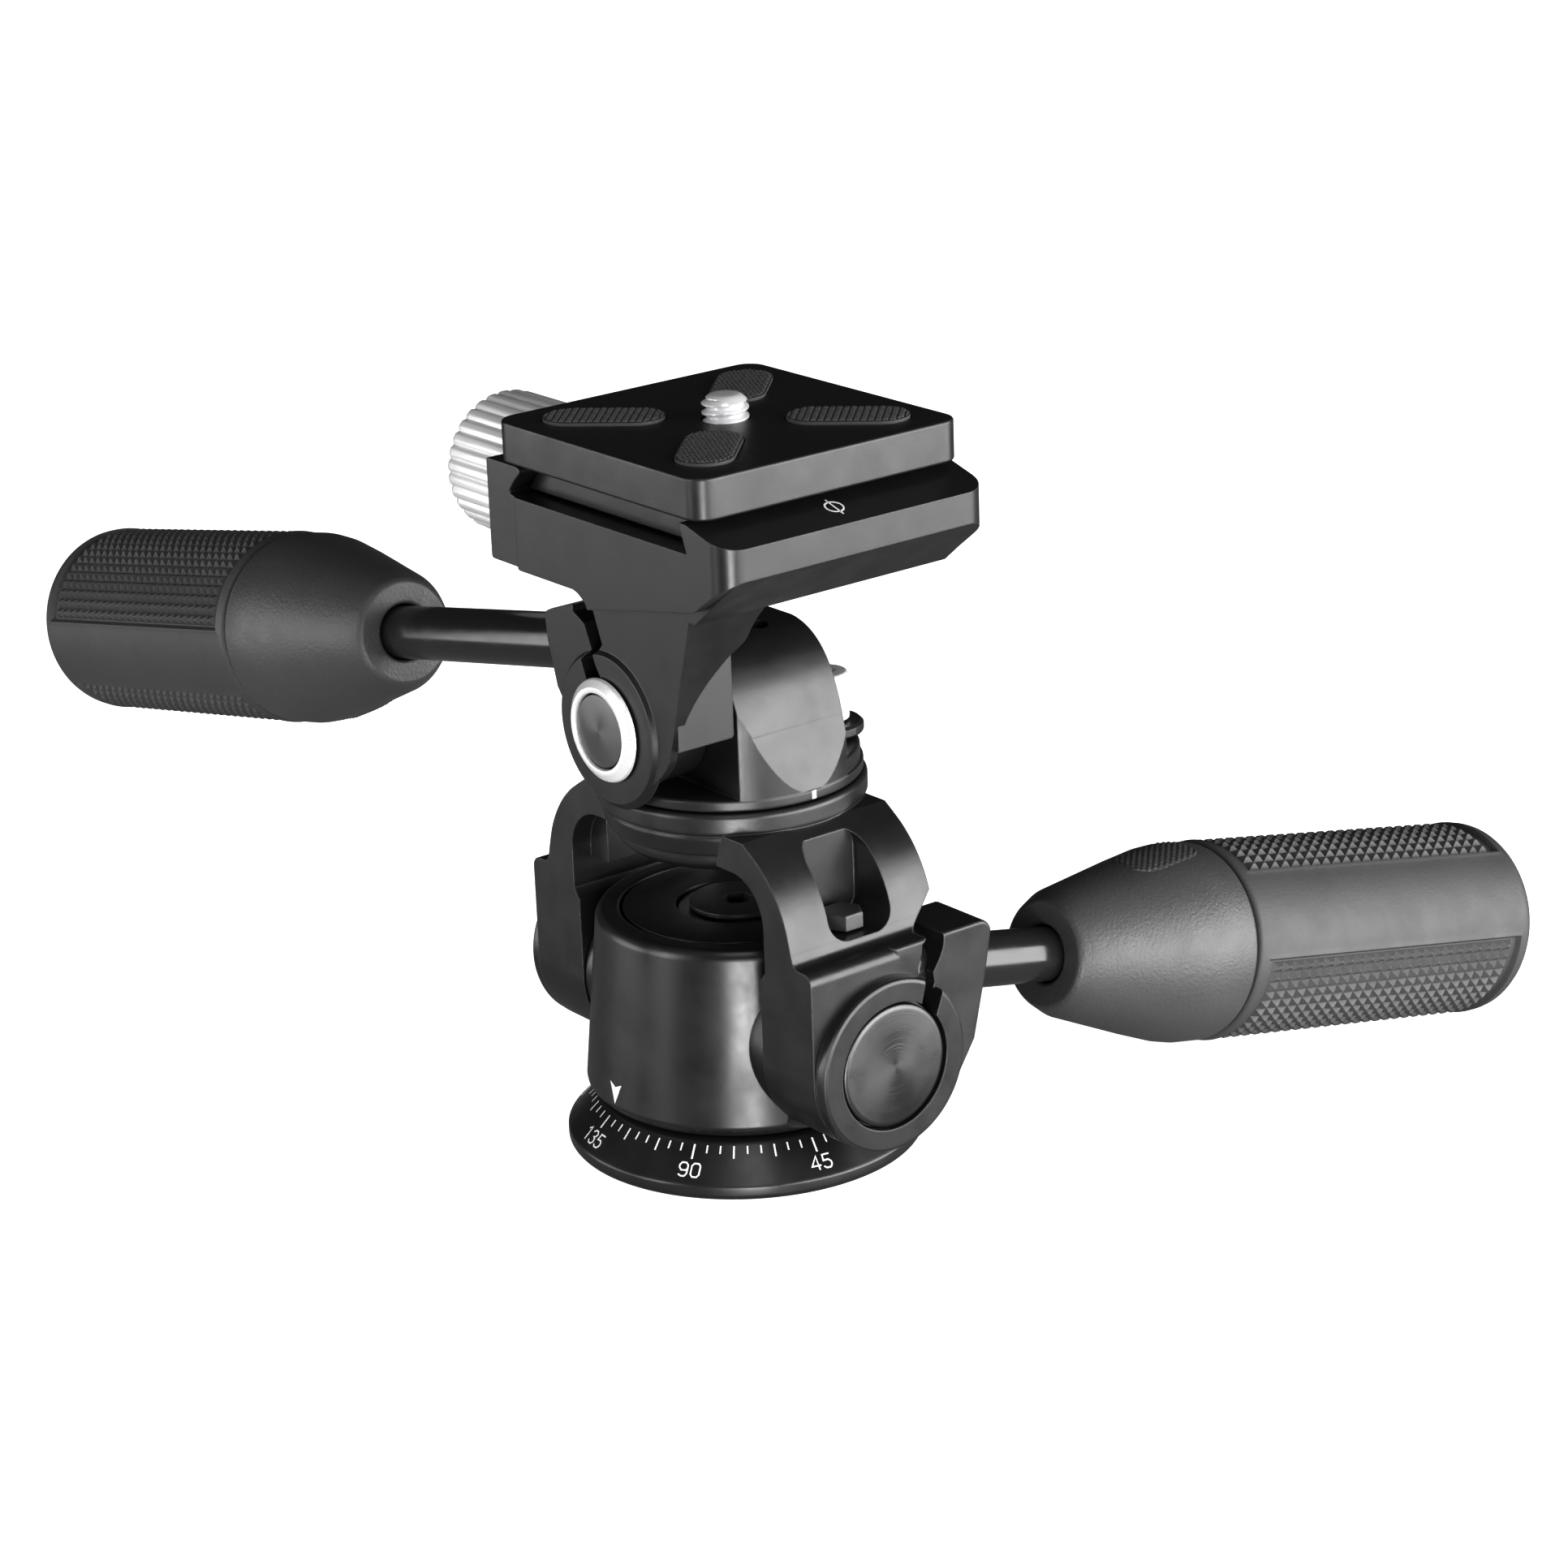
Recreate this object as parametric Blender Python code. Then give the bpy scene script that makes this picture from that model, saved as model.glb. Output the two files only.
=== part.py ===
"""Three way pan tilt head: dial, pan housing, tilt fork, side tilt carrier,
quick release clamp with plate, and two telescopic handles.
Dimensions below are in millimetres; MM turns them into metres."""
import bpy
import bmesh
from math import pi, cos, sin, radians, sqrt, atan2
from mathutils import Vector, Matrix

MM = 0.001

# driving dimensions
DIAL_R = 25.0            # base dial radius
INSERT_R = 4.76          # 3/8 inch tripod thread
TILT_Z = 19.7            # height of the front tilt axis
SIDE_Z = 63.8            # height of the side tilt axis
FORK_IN = 20.6           # inner face of each fork arm
FORK_OUT = 31.5          # outer face of each fork arm
RING_OUT = 33.5          # raised ring round each pivot
ARM_R = 12.25            # round lower end of each arm
BORE_R = 9.0             # pivot bore in each arm
DRUM_R = 8.9             # pivot drum
PLATFORM_R = 18.5
POST_R = 18.0
ROD_R = 3.85
ROD_HOLE_R = 4.1
GRIP_R = 14.4
CONE_R0 = 7.88
CONE_R1 = 14.2
CONE_LEN = 28.5
GRIP_END = 88.0
PLATE_X, PLATE_Y = 45.1, 43.9
PLATE_CX = 1.8
PLATE_TOP = 102.9
PLATE_BOT = 97.2
KNOB_R = 10.3
KNOB_Z = 87.4
RIGHT_P0 = Vector((26.0, 19.0, 27.36))
RIGHT_D = Vector((0.0, cos(radians(11.5)), -sin(radians(11.5))))
LEFT_P0 = Vector((-9.0, -14.0, 72.44))
LEFT_D = Vector((-cos(radians(11.0)), 0.0, -sin(radians(11.0))))

for old in list(bpy.data.objects):
    bpy.data.objects.remove(old, do_unlink=True)

SCENE = bpy.context.scene


# ---------------------------------------------------------------- materials
def material(name, color, rough, metal):
    m = bpy.data.materials.new(name)
    m.use_nodes = True
    b = m.node_tree.nodes.get("Principled BSDF")
    b.inputs["Base Color"].default_value = (color[0], color[1], color[2], 1.0)
    b.inputs["Roughness"].default_value = rough
    b.inputs["Metallic"].default_value = metal
    m.diffuse_color = (color[0], color[1], color[2], 1.0)
    return m


# ---------------------------------------------------------------- mesh tools
def clean(bm):
    bmesh.ops.remove_doubles(bm, verts=bm.verts[:], dist=0.001)
    bmesh.ops.recalc_face_normals(bm, faces=bm.faces[:])
    return bm


def revolve(profile, segs=48):
    """Turned solid about Z; profile is a closed loop of (r, z), or an open
    line whose two ends are on the axis."""
    bm = bmesh.new()
    vs = [bm.verts.new((r, 0.0, z)) for r, z in profile]
    open_line = profile[0][0] == 0.0 and profile[-1][0] == 0.0
    n = len(vs)
    es = [bm.edges.new((vs[i], vs[(i + 1) % n])) for i in range(n - 1 if open_line else n)]
    bmesh.ops.spin(bm, geom=vs + es, cent=(0, 0, 0), axis=(0, 0, 1),
                   angle=2 * pi, steps=segs, use_duplicate=False)
    bmesh.ops.remove_doubles(bm, verts=bm.verts[:], dist=0.001)
    bmesh.ops.dissolve_degenerate(bm, edges=bm.edges[:], dist=0.00001)
    bmesh.ops.recalc_face_normals(bm, faces=bm.faces[:])
    return bm


def place(bm, origin, direction):
    """Turn the local Z axis onto a direction and move to an origin."""
    q = Vector((0, 0, 1)).rotation_difference(Vector(direction).normalized())
    m = Matrix.Translation(Vector(origin)) @ q.to_matrix().to_4x4()
    bmesh.ops.transform(bm, matrix=m, verts=bm.verts[:])
    return bm


def bevel_edges(bm, offset, segs=1, min_angle=30.0, keep=None):
    es = []
    for e in bm.edges:
        if len(e.link_faces) == 2 and e.calc_face_angle(0.0) > radians(min_angle):
            if keep is None or keep(e):
                es.append(e)
    if es:
        bmesh.ops.bevel(bm, geom=es, offset=offset, segments=segs, profile=0.5,
                        affect='EDGES', clamp_overlap=True)
        clean(bm)
    return bm


def prism(points, plane, lo, hi, bevel=0.0, segs=1, min_angle=30.0, keep=None):
    """Straight solid over an outline. plane names the two axes of the
    outline; lo and hi are the limits along the third."""
    def put(a, b, c):
        if plane == 'XY':
            return (a, b, c)
        if plane == 'XZ':
            return (a, c, b)
        return (c, a, b)
    bm = bmesh.new()
    f = bm.faces.new([bm.verts.new(put(a, b, lo)) for a, b in points])
    r = bmesh.ops.extrude_face_region(bm, geom=[f])
    moved = [g for g in r['geom'] if isinstance(g, bmesh.types.BMVert)]
    bmesh.ops.translate(bm, verts=moved, vec=Vector(put(0, 0, hi - lo)))
    clean(bm)
    if bevel:
        bevel_edges(bm, bevel, segs, min_angle, keep)
    return bm


def box(x0, x1, y0, y1, z0, z1, bevel=0.0, segs=1, keep=None):
    bm = bmesh.new()
    bmesh.ops.create_cube(bm, size=1.0)
    bmesh.ops.scale(bm, vec=(x1 - x0, y1 - y0, z1 - z0), verts=bm.verts[:])
    bmesh.ops.translate(bm, vec=((x0 + x1) / 2, (y0 + y1) / 2, (z0 + z1) / 2), verts=bm.verts[:])
    if bevel:
        bevel_edges(bm, bevel, segs, 30.0, keep)
    return bm


def cylinder(r, lo, hi, segs=32, origin=(0, 0, 0), direction=(0, 0, 1)):
    return place(revolve([(0.0, lo), (r, lo), (r, hi), (0.0, hi)], segs), origin, direction)


def arc(cx, cy, r, a0, a1, n):
    """n + 1 points of an arc, angles in degrees."""
    return [(cx + r * cos(radians(a0 + (a1 - a0) * i / n)),
             cy + r * sin(radians(a0 + (a1 - a0) * i / n))) for i in range(n + 1)]


def rounded(x0, x1, y0, y1, r, n=5):
    return (arc(x1 - r, y1 - r, r, 0, 90, n) + arc(x0 + r, y1 - r, r, 90, 180, n)
            + arc(x0 + r, y0 + r, r, 180, 270, n) + arc(x1 - r, y0 + r, r, 270, 360, n))


def temp_object(bm, name):
    me = bpy.data.meshes.new(name)
    bm.to_mesh(me)
    bm.free()
    ob = bpy.data.objects.new(name, me)
    SCENE.collection.objects.link(ob)
    return ob


def boolean(bm, others, op='DIFFERENCE', solver='EXACT'):
    """Cut, join or intersect with one or more solids."""
    if not isinstance(others, (list, tuple)):
        others = [others]
    ob = temp_object(bm, "work")
    cutters = []
    for i, o in enumerate(others):
        c = temp_object(o, "cutter%d" % i)
        c.hide_render = True
        c.display_type = 'WIRE'
        mod = ob.modifiers.new("b%d" % i, 'BOOLEAN')
        mod.operation = op
        mod.solver = solver
        mod.object = c
        cutters.append(c)
    dg = bpy.context.evaluated_depsgraph_get()
    me = bpy.data.meshes.new_from_object(ob.evaluated_get(dg))
    out = bmesh.new()
    out.from_mesh(me)
    for c in cutters + [ob]:
        bpy.data.objects.remove(c, do_unlink=True)
    bpy.data.meshes.remove(me)
    bmesh.ops.remove_doubles(out, verts=out.verts[:], dist=0.001)
    bmesh.ops.dissolve_degenerate(out, edges=out.edges[:], dist=0.00001)
    bmesh.ops.recalc_face_normals(out, faces=out.faces[:])
    return out


ORIGINS = {}


def joint_empty(name, origin, parent=None):
    e = bpy.data.objects.new(name, None)
    e.empty_display_size = 0.01
    ORIGINS[name] = Vector(origin) * MM
    e.location = ORIGINS[name] - (ORIGINS[parent.name] if parent else Vector())
    if parent:
        e.parent = parent
    SCENE.collection.objects.link(e)
    return e


def finish(name, bm, parent, mat, angle=32.0):
    """Store a solid as a named object whose origin is its joint's origin."""
    o = ORIGINS[parent.name]
    bmesh.ops.scale(bm, vec=(MM, MM, MM), verts=bm.verts[:])
    bmesh.ops.translate(bm, vec=-o, verts=bm.verts[:])
    for f in bm.faces:
        f.smooth = True
    for e in bm.edges:
        e.smooth = len(e.link_faces) == 2 and e.calc_face_angle(0.0) < radians(angle)
    me = bpy.data.meshes.new(name)
    bm.to_mesh(me)
    bm.free()
    ob = bpy.data.objects.new(name, me)
    me.materials.append(mat)
    SCENE.collection.objects.link(ob)
    ob.parent = parent
    return ob


# ---------------------------------------------------------------- joints
base = joint_empty("base", (0, 0, 0))
pan = joint_empty("pan", (0, 0, TILT_Z), base)
pan_lock = joint_empty("pan_lock", (0, 22, 12), pan)
yoke = joint_empty("yoke", (0, 0, TILT_Z), pan)
right_rod_j = joint_empty("right_rod_axis", RIGHT_P0, yoke)
right_grip_j = joint_empty("right_grip_axis", RIGHT_P0, right_rod_j)
carrier = joint_empty("carrier", (0, 0, SIDE_Z), yoke)
left_rod_j = joint_empty("left_rod_axis", LEFT_P0, carrier)
left_grip_j = joint_empty("left_grip_axis", LEFT_P0, left_rod_j)
jaw_j = joint_empty("jaw_slide", (-20, 0, KNOB_Z), carrier)
knob_j = joint_empty("knob_axis", (-24, 0, KNOB_Z), jaw_j)
plate_j = joint_empty("plate_slide", (PLATE_CX, 0, 97), carrier)
screw_j = joint_empty("screw_axis", (PLATE_CX, 0, 97), plate_j)

# ---------------------------------------------------------------- base dial
finish("pan_dial", revolve([
    (7.3, 0.0), (24.2, 0.0), (24.8, 0.3), (DIAL_R, 0.8), (DIAL_R, 1.9), (24.75, 2.3),
    (20.4, 6.65), (19.6, 7.0), (7.3, 7.0)], 72), base,
    material("dial_anodised", (0.02, 0.02, 0.021), 0.38, 0.7))
finish("thread_insert", revolve([
    (5.3, 0.2), (7.0, 0.2), (7.0, 6.9), (INSERT_R, 6.9), (INSERT_R, 0.8)], 40), base,
    material("insert_steel", (0.5, 0.5, 0.5), 0.35, 1.0))
bolt = revolve([(0.0, 6.2), (4.1, 6.2), (4.5, 6.7), (4.5, 33.7), (6.7, 33.7),
                (6.7, 34.2), (6.5, 34.4), (0.0, 34.4)], 32)
bolt = boolean(bolt, prism([(2.3 * cos(i * pi / 3), 2.3 * sin(i * pi / 3)) for i in range(6)],
                           'XY', 31.5, 36.0))
finish("pan_bolt", bolt, base, material("bolt_steel", (0.25, 0.25, 0.26), 0.35, 1.0))
finish("pan_friction_washer", revolve([
    (10.0, 7.15), (17.6, 7.15), (17.6, 7.5), (10.0, 7.5)], 36), base,
    material("washer_polymer", (0.03, 0.03, 0.03), 0.6, 0.0))

# ---------------------------------------------------------------- pan housing
housing = revolve([
    (18.0, 7.5), (20.4, 7.5), (21.85, 8.95), (22.0, 9.5), (19.75, 33.2),
    (19.55, 33.75), (19.0, 34.1), (16.6, 34.1), (16.3, 33.8), (16.3, 32.3),
    (4.9, 32.3), (4.9, 8.1), (18.0, 8.1)], 48)
trunnion = cylinder(12.0, -20.3, 20.3, 36, (0, 0, TILT_Z), (1, 0, 0))
trunnion = boolean(trunnion, cylinder(6.5, 0.0, 40.0, 16))
housing = boolean(housing, trunnion, 'UNION')
stud_hole_r, stub_r = 2.7, 6.0
housing = boolean(housing, [
    cylinder(stub_r + 0.1, 8.7, 22.0, 24, (0, 0, TILT_Z), (1, 0, 0)),
    cylinder(stub_r + 0.1, 8.7, 22.0, 24, (0, 0, TILT_Z), (-1, 0, 0)),
    cylinder(13.2, 20.3, 24.0, 36, (0, 0, TILT_Z), (1, 0, 0)),
    cylinder(13.2, 20.3, 24.0, 36, (0, 0, TILT_Z), (-1, 0, 0)),
    cylinder(stud_hole_r, 14.5, 24.0, 24, (0, 0, 12.0), (0, 1, 0))], 'DIFFERENCE', 'MANIFOLD')
finish("pan_housing", housing, pan, material("housing_anodised", (0.025, 0.025, 0.026), 0.36, 0.75))
finish("housing_top_cover", revolve([
    (8.5, 32.6), (15.9, 32.6), (15.9, 33.7), (15.6, 34.0), (8.5, 34.0)], 48), pan,
    material("cover_anodised", (0.02, 0.02, 0.02), 0.4, 0.6))
finish("bolt_washer", revolve([(5.0, 32.6), (8.2, 32.6), (8.2, 33.4), (5.0, 33.4)], 40), base,
       material("washer_steel", (0.4, 0.4, 0.4), 0.35, 1.0))
for side, sx in (("right", 1), ("left", -1)):
    finish("tilt_drum_" + side, place(revolve([
        (0.0, 9.0), (stub_r, 9.0), (stub_r, 20.75), (DRUM_R, 20.75), (DRUM_R, 31.9), (0.0, 31.9)],
        48), (0, 0, TILT_Z), (sx, 0, 0)), pan,
        material("drum_%s_steel" % side, (0.12, 0.12, 0.12), 0.4, 0.9))
    finish("tilt_cap_" + side, place(revolve([
        (0.0, 32.1), (8.6, 32.1), (8.6, 33.1), (8.3, 33.4), (0.0, 33.66)],
        48), (0, 0, TILT_Z), (sx, 0, 0)), pan,
        material("cap_%s_brushed" % side, (0.03, 0.03, 0.03), 0.32, 0.9))

# pan lock behind the housing
lock = revolve([(0.0, 33.6), (6.2, 33.6), (7.0, 32.8), (7.0, 25.2), (6.2, 24.4), (4.4, 24.4),
                (4.4, 22.2), (2.8, 22.2), (2.8, 31.0), (0.0, 31.0)], 28)
flutes = [cylinder(0.9, 23.5, 34.5, 6, (7.3 * cos(i * pi / 6), 7.3 * sin(i * pi / 6), 0.0))
          for i in range(12)]
lock = boolean(lock, flutes)
lock = place(lock, (0, 0, 12.0), (0, 1, 0))
finish("pan_lock_knob", lock, pan_lock, material("lock_polymer", (0.02, 0.02, 0.02), 0.5, 0.1))
finish("pan_lock_stud", cylinder(2.5, 14.9, 30.6, 24, (0, 0, 12.0), (0, 1, 0)), pan_lock,
       material("stud_steel", (0.5, 0.5, 0.5), 0.3, 1.0))

# ---------------------------------------------------------------- tilt fork
ARM_XZ = [(12.0, 50.2), (12.0, 45.5), (15.5, 45.5), (17.0, 45.1), (18.5, 44.3), (19.7, 43.3),
          (20.6, 42.0), (21.2, 40.6), (21.6, 39.0), (21.7, 36.0), (21.7, 33.0), (FORK_IN, 31.5),
          (FORK_IN, 7.4), (FORK_OUT, 7.4), (FORK_OUT, 33.9), (31.3, 34.5), (30.8, 35.0),
          (30.1, 35.3), (28.6, 35.3), (27.9, 35.6), (27.6, 36.1), (27.3, 37.5), (26.4, 40.8),
          (25.2, 43.3), (23.6, 45.6), (21.6, 47.6), (19.8, 48.9), (17.8, 50.2)]
ARM_YZ = [(-ARM_R, 52.0), (-ARM_R, TILT_Z)] + arc(0, TILT_Z, ARM_R, 180, 360, 22)[1:] + [(ARM_R, 52.0)]
EAR_YZ = [(2.0, 35.3), (17.0, 35.3), (18.3, 34.6), (19.2, 33.0), (18.0, 27.5), (16.8, 22.6),
          (15.8, 18.5), (12.5, 13.5), (6.0, 19.7)]
SLIT_YZ = [(6.8, 34.6), (8.2, 35.6), (12.6, 40.2), (14.0, 40.2), (14.0, 36.0), (22.0, 36.0),
           (22.0, 35.25), (10.6, 35.25), (10.6, 34.0), (10.0, 32.3), (8.6, 30.2), (8.8, 28.7),
           (7.2, 24.6), (4.4, 25.6), (5.9, 31.2), (6.7, 33.5)]


def fork_arm(sx):
    arm = prism([(sx * x, z) for x, z in ARM_XZ], 'XZ', -13.0, 13.0)
    arm = boolean(arm, prism(ARM_YZ, 'YZ', -40.0, 40.0, 0.0), 'INTERSECT')
    parts = []
    if sx > 0:
        parts.append(prism(EAR_YZ, 'YZ', FORK_IN + 1.1, FORK_OUT, 0.6, 2, 30.0,
                           lambda e: all(v.co.x > FORK_OUT - 0.1 for v in e.verts)))
    ring = place(revolve([(8.5, FORK_OUT - 1.0), (ARM_R - 0.35, FORK_OUT - 1.0),
                          (ARM_R - 0.35, FORK_OUT), (ARM_R - 0.1, FORK_OUT + 0.3),
                          (ARM_R - 0.1, RING_OUT - 0.4), (ARM_R - 0.5, RING_OUT),
                          (8.5, RING_OUT)], 48),
                 (0, 0, TILT_Z), (sx, 0, 0))
    parts.append(ring)
    arm = boolean(arm, parts, 'UNION')
    return arm


def window(sx):
    """Pocket in the upper, curved half of an arm."""
    pts = rounded(-5.1, 5.1, 36.7, 49.2, 2.6, 6)
    w = prism(pts, 'YZ', 19.8, 40.0)
    if sx < 0:
        bmesh.ops.scale(w, vec=(-1, 1, 1), verts=w.verts[:])
        bmesh.ops.reverse_faces(w, faces=w.faces[:])
    return w


bridge = revolve([(0.0, 44.0), (14.7, 44.0), (15.8, 44.6), (16.2, 45.6), (16.2, 46.9), (17.4, 46.9),
                  (18.2, 50.0), (0.0, 50.0)], 60)
platform = revolve([(0.0, 49.9), (17.9, 49.9), (PLATFORM_R, 50.3), (PLATFORM_R, 52.6),
                    (18.1, 53.1), (0.0, 53.1)], 60)
wall_r = box(17.6, 22.4, -9.0, 9.0, 37.0, 46.5)
wall_l = box(-22.4, -17.6, -9.0, 9.0, 37.0, 46.5)
fork = boolean(fork_arm(1), [bridge, platform, wall_r, wall_l, fork_arm(-1)], 'UNION')
fork = boolean(fork, [
    cylinder(BORE_R, 18.0, 36.0, 48, (0, 0, TILT_Z), (1, 0, 0)),
    cylinder(BORE_R, 18.0, 36.0, 48, (0, 0, TILT_Z), (-1, 0, 0)),
    window(1), window(-1),
    prism(SLIT_YZ, 'YZ', 15.0, 36.0),
    cylinder(ROD_HOLE_R, -12.4, 4.0, 32, RIGHT_P0, RIGHT_D),
    cylinder(2.1, -19.6, 0.0, 20, RIGHT_P0, RIGHT_D),
    cylinder(3.0, 43.0, 54.0, 32),
    cylinder(5.2, 43.0, 49.1, 32)])
finish("tilt_fork", fork, yoke, material("fork_anodised", (0.03, 0.03, 0.031), 0.38, 0.7))

for side, sx in (("right", 1), ("left", -1)):
    finish("drag_screw_" + side, prism(
        [(sx * 23.0 + 2.9 * cos((i + 0.5) * pi / 3), 0.2 + 2.9 * sin((i + 0.5) * pi / 3)) for i in range(6)],
        'XY', 36.95, 39.2, 0.4, 1, 40.0, lambda e: all(v.co.z > 39.1 for v in e.verts)), yoke,
        material("drag_screw_%s_steel" % side, (0.2, 0.2, 0.2), 0.45, 0.8))

# ---------------------------------------------------------------- side tilt post
FLAT_F, FLAT_R = -10.0, 7.0
post = revolve([(0.0, 53.4), (17.9, 53.4), (POST_R, 53.6), (POST_R, 54.7), (17.7, 54.9),
                (0.0, 54.9)], 60)
SLOPE_TOP = (133.2 - 75.1) / 4.4


def slope(z):
    return (133.2 - z) / 4.4


side_xz = ([(-slope(54.0), 54.0), (slope(54.0), 54.0), (slope(67.0), 67.0)]
           + arc(4.0, 64.1, 11.0, 15.0, 84.0, 8)[1:]
           + arc(-4.0, 64.1, 11.0, 96.0, 165.0, 8)[:-1] + [(-slope(67.0), 67.0)])
upper = prism(side_xz, 'XZ', FLAT_F, FLAT_R, 0.6, 2, 30.0,
              lambda e: all(v.co.z > 60.0 for v in e.verts))
upper = boolean(upper, cylinder(POST_R - 0.12, 50.0, 80.0, 60), 'INTERSECT')
rear = prism([(-14.0, 6.0), (14.0, 6.0), (11.0, 13.9), (6.0, 16.8), (0.0, 17.8), (-6.0, 16.8),
              (-11.0, 13.9)], 'XY', 54.5, 56.9, 0.5)
post = boolean(post, [upper, rear], 'UNION')
post = boolean(post, [
    cylinder(5.1, -30.0, -3.0, 40, (0, 0, SIDE_Z), (0, 1, 0)),
    cylinder(1.6, 71.5, 77.0, 20, (5.5, 1.0, 0.0)),
    cylinder(3.0, 52.0, 57.5, 32)])
finish("side_tilt_post", post, yoke, material("post_anodised", (0.03, 0.03, 0.031), 0.4, 0.7))
finish("post_bolt", revolve([(0.0, 45.9), (4.9, 45.9), (4.9, 48.8), (2.75, 48.8), (2.75, 57.2),
                             (0.0, 57.2)], 32), yoke,
       material("post_bolt_steel", (0.2, 0.2, 0.2), 0.35, 1.0))
finish("post_screw_collar", revolve([(1.9, 57.2), (4.9, 57.2), (5.1, 57.5), (5.1, 58.4),
                                     (4.7, 58.8), (1.9, 58.8)], 28), yoke,
       material("collar_anodised", (0.03, 0.03, 0.03), 0.4, 0.7))
for o in bpy.data.objects:
    if o.name == "post_screw_collar":
        for v in o.data.vertices:
            v.co.x += 5.5 * MM
            v.co.y += 12.4 * MM
pin = revolve([(0.0, 57.3), (1.6, 57.3), (1.6, 59.1), (3.2, 59.1), (3.2, 65.4), (2.9, 65.8),
               (0.0, 65.8)], 24)
pin = boolean(pin, prism([(1.6 * cos(i * pi / 3), 1.6 * sin(i * pi / 3)) for i in range(6)],
                         'XY', 63.6, 67.0))
bmesh.ops.translate(pin, vec=(5.5, 12.4, 0.0), verts=pin.verts[:])
finish("post_clamp_screw", pin, yoke, material("clamp_screw_chrome", (0.7, 0.7, 0.7), 0.2, 1.0))
finish("side_tilt_shaft", place(revolve([
    (0.0, -19.6), (6.0, -19.6), (6.0, -10.4), (5.0, -10.4), (5.0, -3.2), (0.0, -3.2)], 40),
    (0, 0, SIDE_Z), (0, 1, 0)), yoke, material("side_shaft_steel", (0.3, 0.3, 0.3), 0.35, 1.0))

# ---------------------------------------------------------------- carrier casting
BODY_XZ = [(-16.6, 82.9), (-16.3, 82.7), (-4.0, 82.7), (-2.4, 81.9), (-1.2, 81.3), (-1.0, 80.5),
           (0.0, 80.7), (10.9, 82.9), (21.8, 85.0), (22.8, 85.4), (29.3, 89.9), (29.5, 90.3),
           (29.5, 94.4), (21.5, 96.7), (20.2, 96.7), (20.2, 96.5), (21.6, 92.8), (-16.6, 92.8)]
body = prism(BODY_XZ, 'XZ', -22.0, -19.5)
BODY2_XZ = [(-16.6, 82.9), (-16.3, 82.6), (20.0, 82.6), (22.8, 84.9), (29.5, 90.1), (29.5, 94.4), (21.5, 96.7),
            (20.2, 96.7), (20.2, 96.5), (21.6, 92.8), (-16.6, 92.8)]
body2 = prism(BODY2_XZ, 'XZ', -20.0, 22.0)
plan = rounded(-40.0, 29.5, -22.0, 22.0, 3.6, 6)
ARM_OUT = ([(0.5, 84.0), (-3.0, 80.9), (-11.9, 77.9), (-13.2, 77.5), (-13.8, 76.8), (-13.4, 73.1),
            (-11.7, 67.0), (-8.8, 63.1), (-7.6, 59.6)] +
           arc(0, SIDE_Z, 9.5, 225, 300, 9) +
           [(8.3, 57.6), (11.0, 59.6), (12.8, 61.8), (13.5, 63.8), (14.2, 66.3), (15.8, 72.3),
            (18.9, 83.7), (19.0, 84.0)])
COVE_YZ = [(-20.0, 50.0), (-18.8, 50.0), (-18.8, 63.9), (-18.1, 67.9), (-15.9, 72.0),
           (-12.6, 75.7), (-10.0, 77.7), (-8.7, 80.4), (-6.0, 83.5), (-20.0, 83.5)]
slab = boolean(prism(ARM_OUT, 'XZ', -24.0, 0.0), prism(COVE_YZ, 'YZ', -30.0, 40.0), 'INTERSECT')
BLOCK_OUT = [(0.5, 83.2), (-3.0, 80.9), (-11.9, 77.9), (-13.2, 77.5), (-13.8, 76.8),
             (-13.4, 73.1), (-11.7, 67.0), (-9.1, SIDE_Z), (14.5, SIDE_Z), (14.5, 83.2)]
block = prism(BLOCK_OUT, 'XZ', -19.4, -10.3, 0.5, 2, 30.0,
              lambda e: all(v.co.y > -10.5 for v in e.verts) and all(v.co.z < 82.0 for v in e.verts))
hub = cylinder(8.6, -19.3, -10.35, 48, (0, 0, SIDE_Z), (0, 1, 0))
ring = place(revolve([(5.6, -20.6), (10.2, -20.6), (11.2, -19.5), (5.6, -19.5)], 56),
             (0, 0, SIDE_Z), (0, 1, 0))
cbody = boolean(body2, [body, slab, block, hub, ring], 'UNION')
cbody = boolean(cbody, prism(plan, 'XY', 40.0, 98.0), 'INTERSECT')
EAR_SLIT = [(-2.6, 81.6), (-2.6, 79.8), (-0.8, 75.3), (-2.3, 73.6), (-1.8, 72.4), (-0.7, 70.8),
            (-1.2, 66.0), (-3.6, 66.5), (-4.0, 69.8), (-5.1, 72.4), (-3.3, 74.1), (-4.8, 77.4),
            (-7.2, 78.6), (-7.4, 81.6)]
cbody = boolean(cbody, [
    cylinder(6.1, -23.0, -9.0, 40, (0, 0, SIDE_Z), (0, 1, 0)),
    prism(EAR_SLIT, 'XZ', -24.0, -9.0),
    cylinder(ROD_HOLE_R, -4.4, 8.0, 32, LEFT_P0, LEFT_D),
    cylinder(2.1, -14.0, 0.0, 20, LEFT_P0, LEFT_D),
    cylinder(2.9, 1.6, 20.0, 24, (0, 0, KNOB_Z), (-1, 0, 0)),
    cylinder(1.7, 6.0, 20.0, 16, (0, 15.0, KNOB_Z), (-1, 0, 0)),
    cylinder(1.7, 6.0, 20.0, 16, (0, -15.0, KNOB_Z), (-1, 0, 0))], 'DIFFERENCE', 'MANIFOLD')
finish("clamp_body", cbody, carrier, material("clamp_anodised", (0.022, 0.022, 0.023), 0.38, 0.7))

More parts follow.
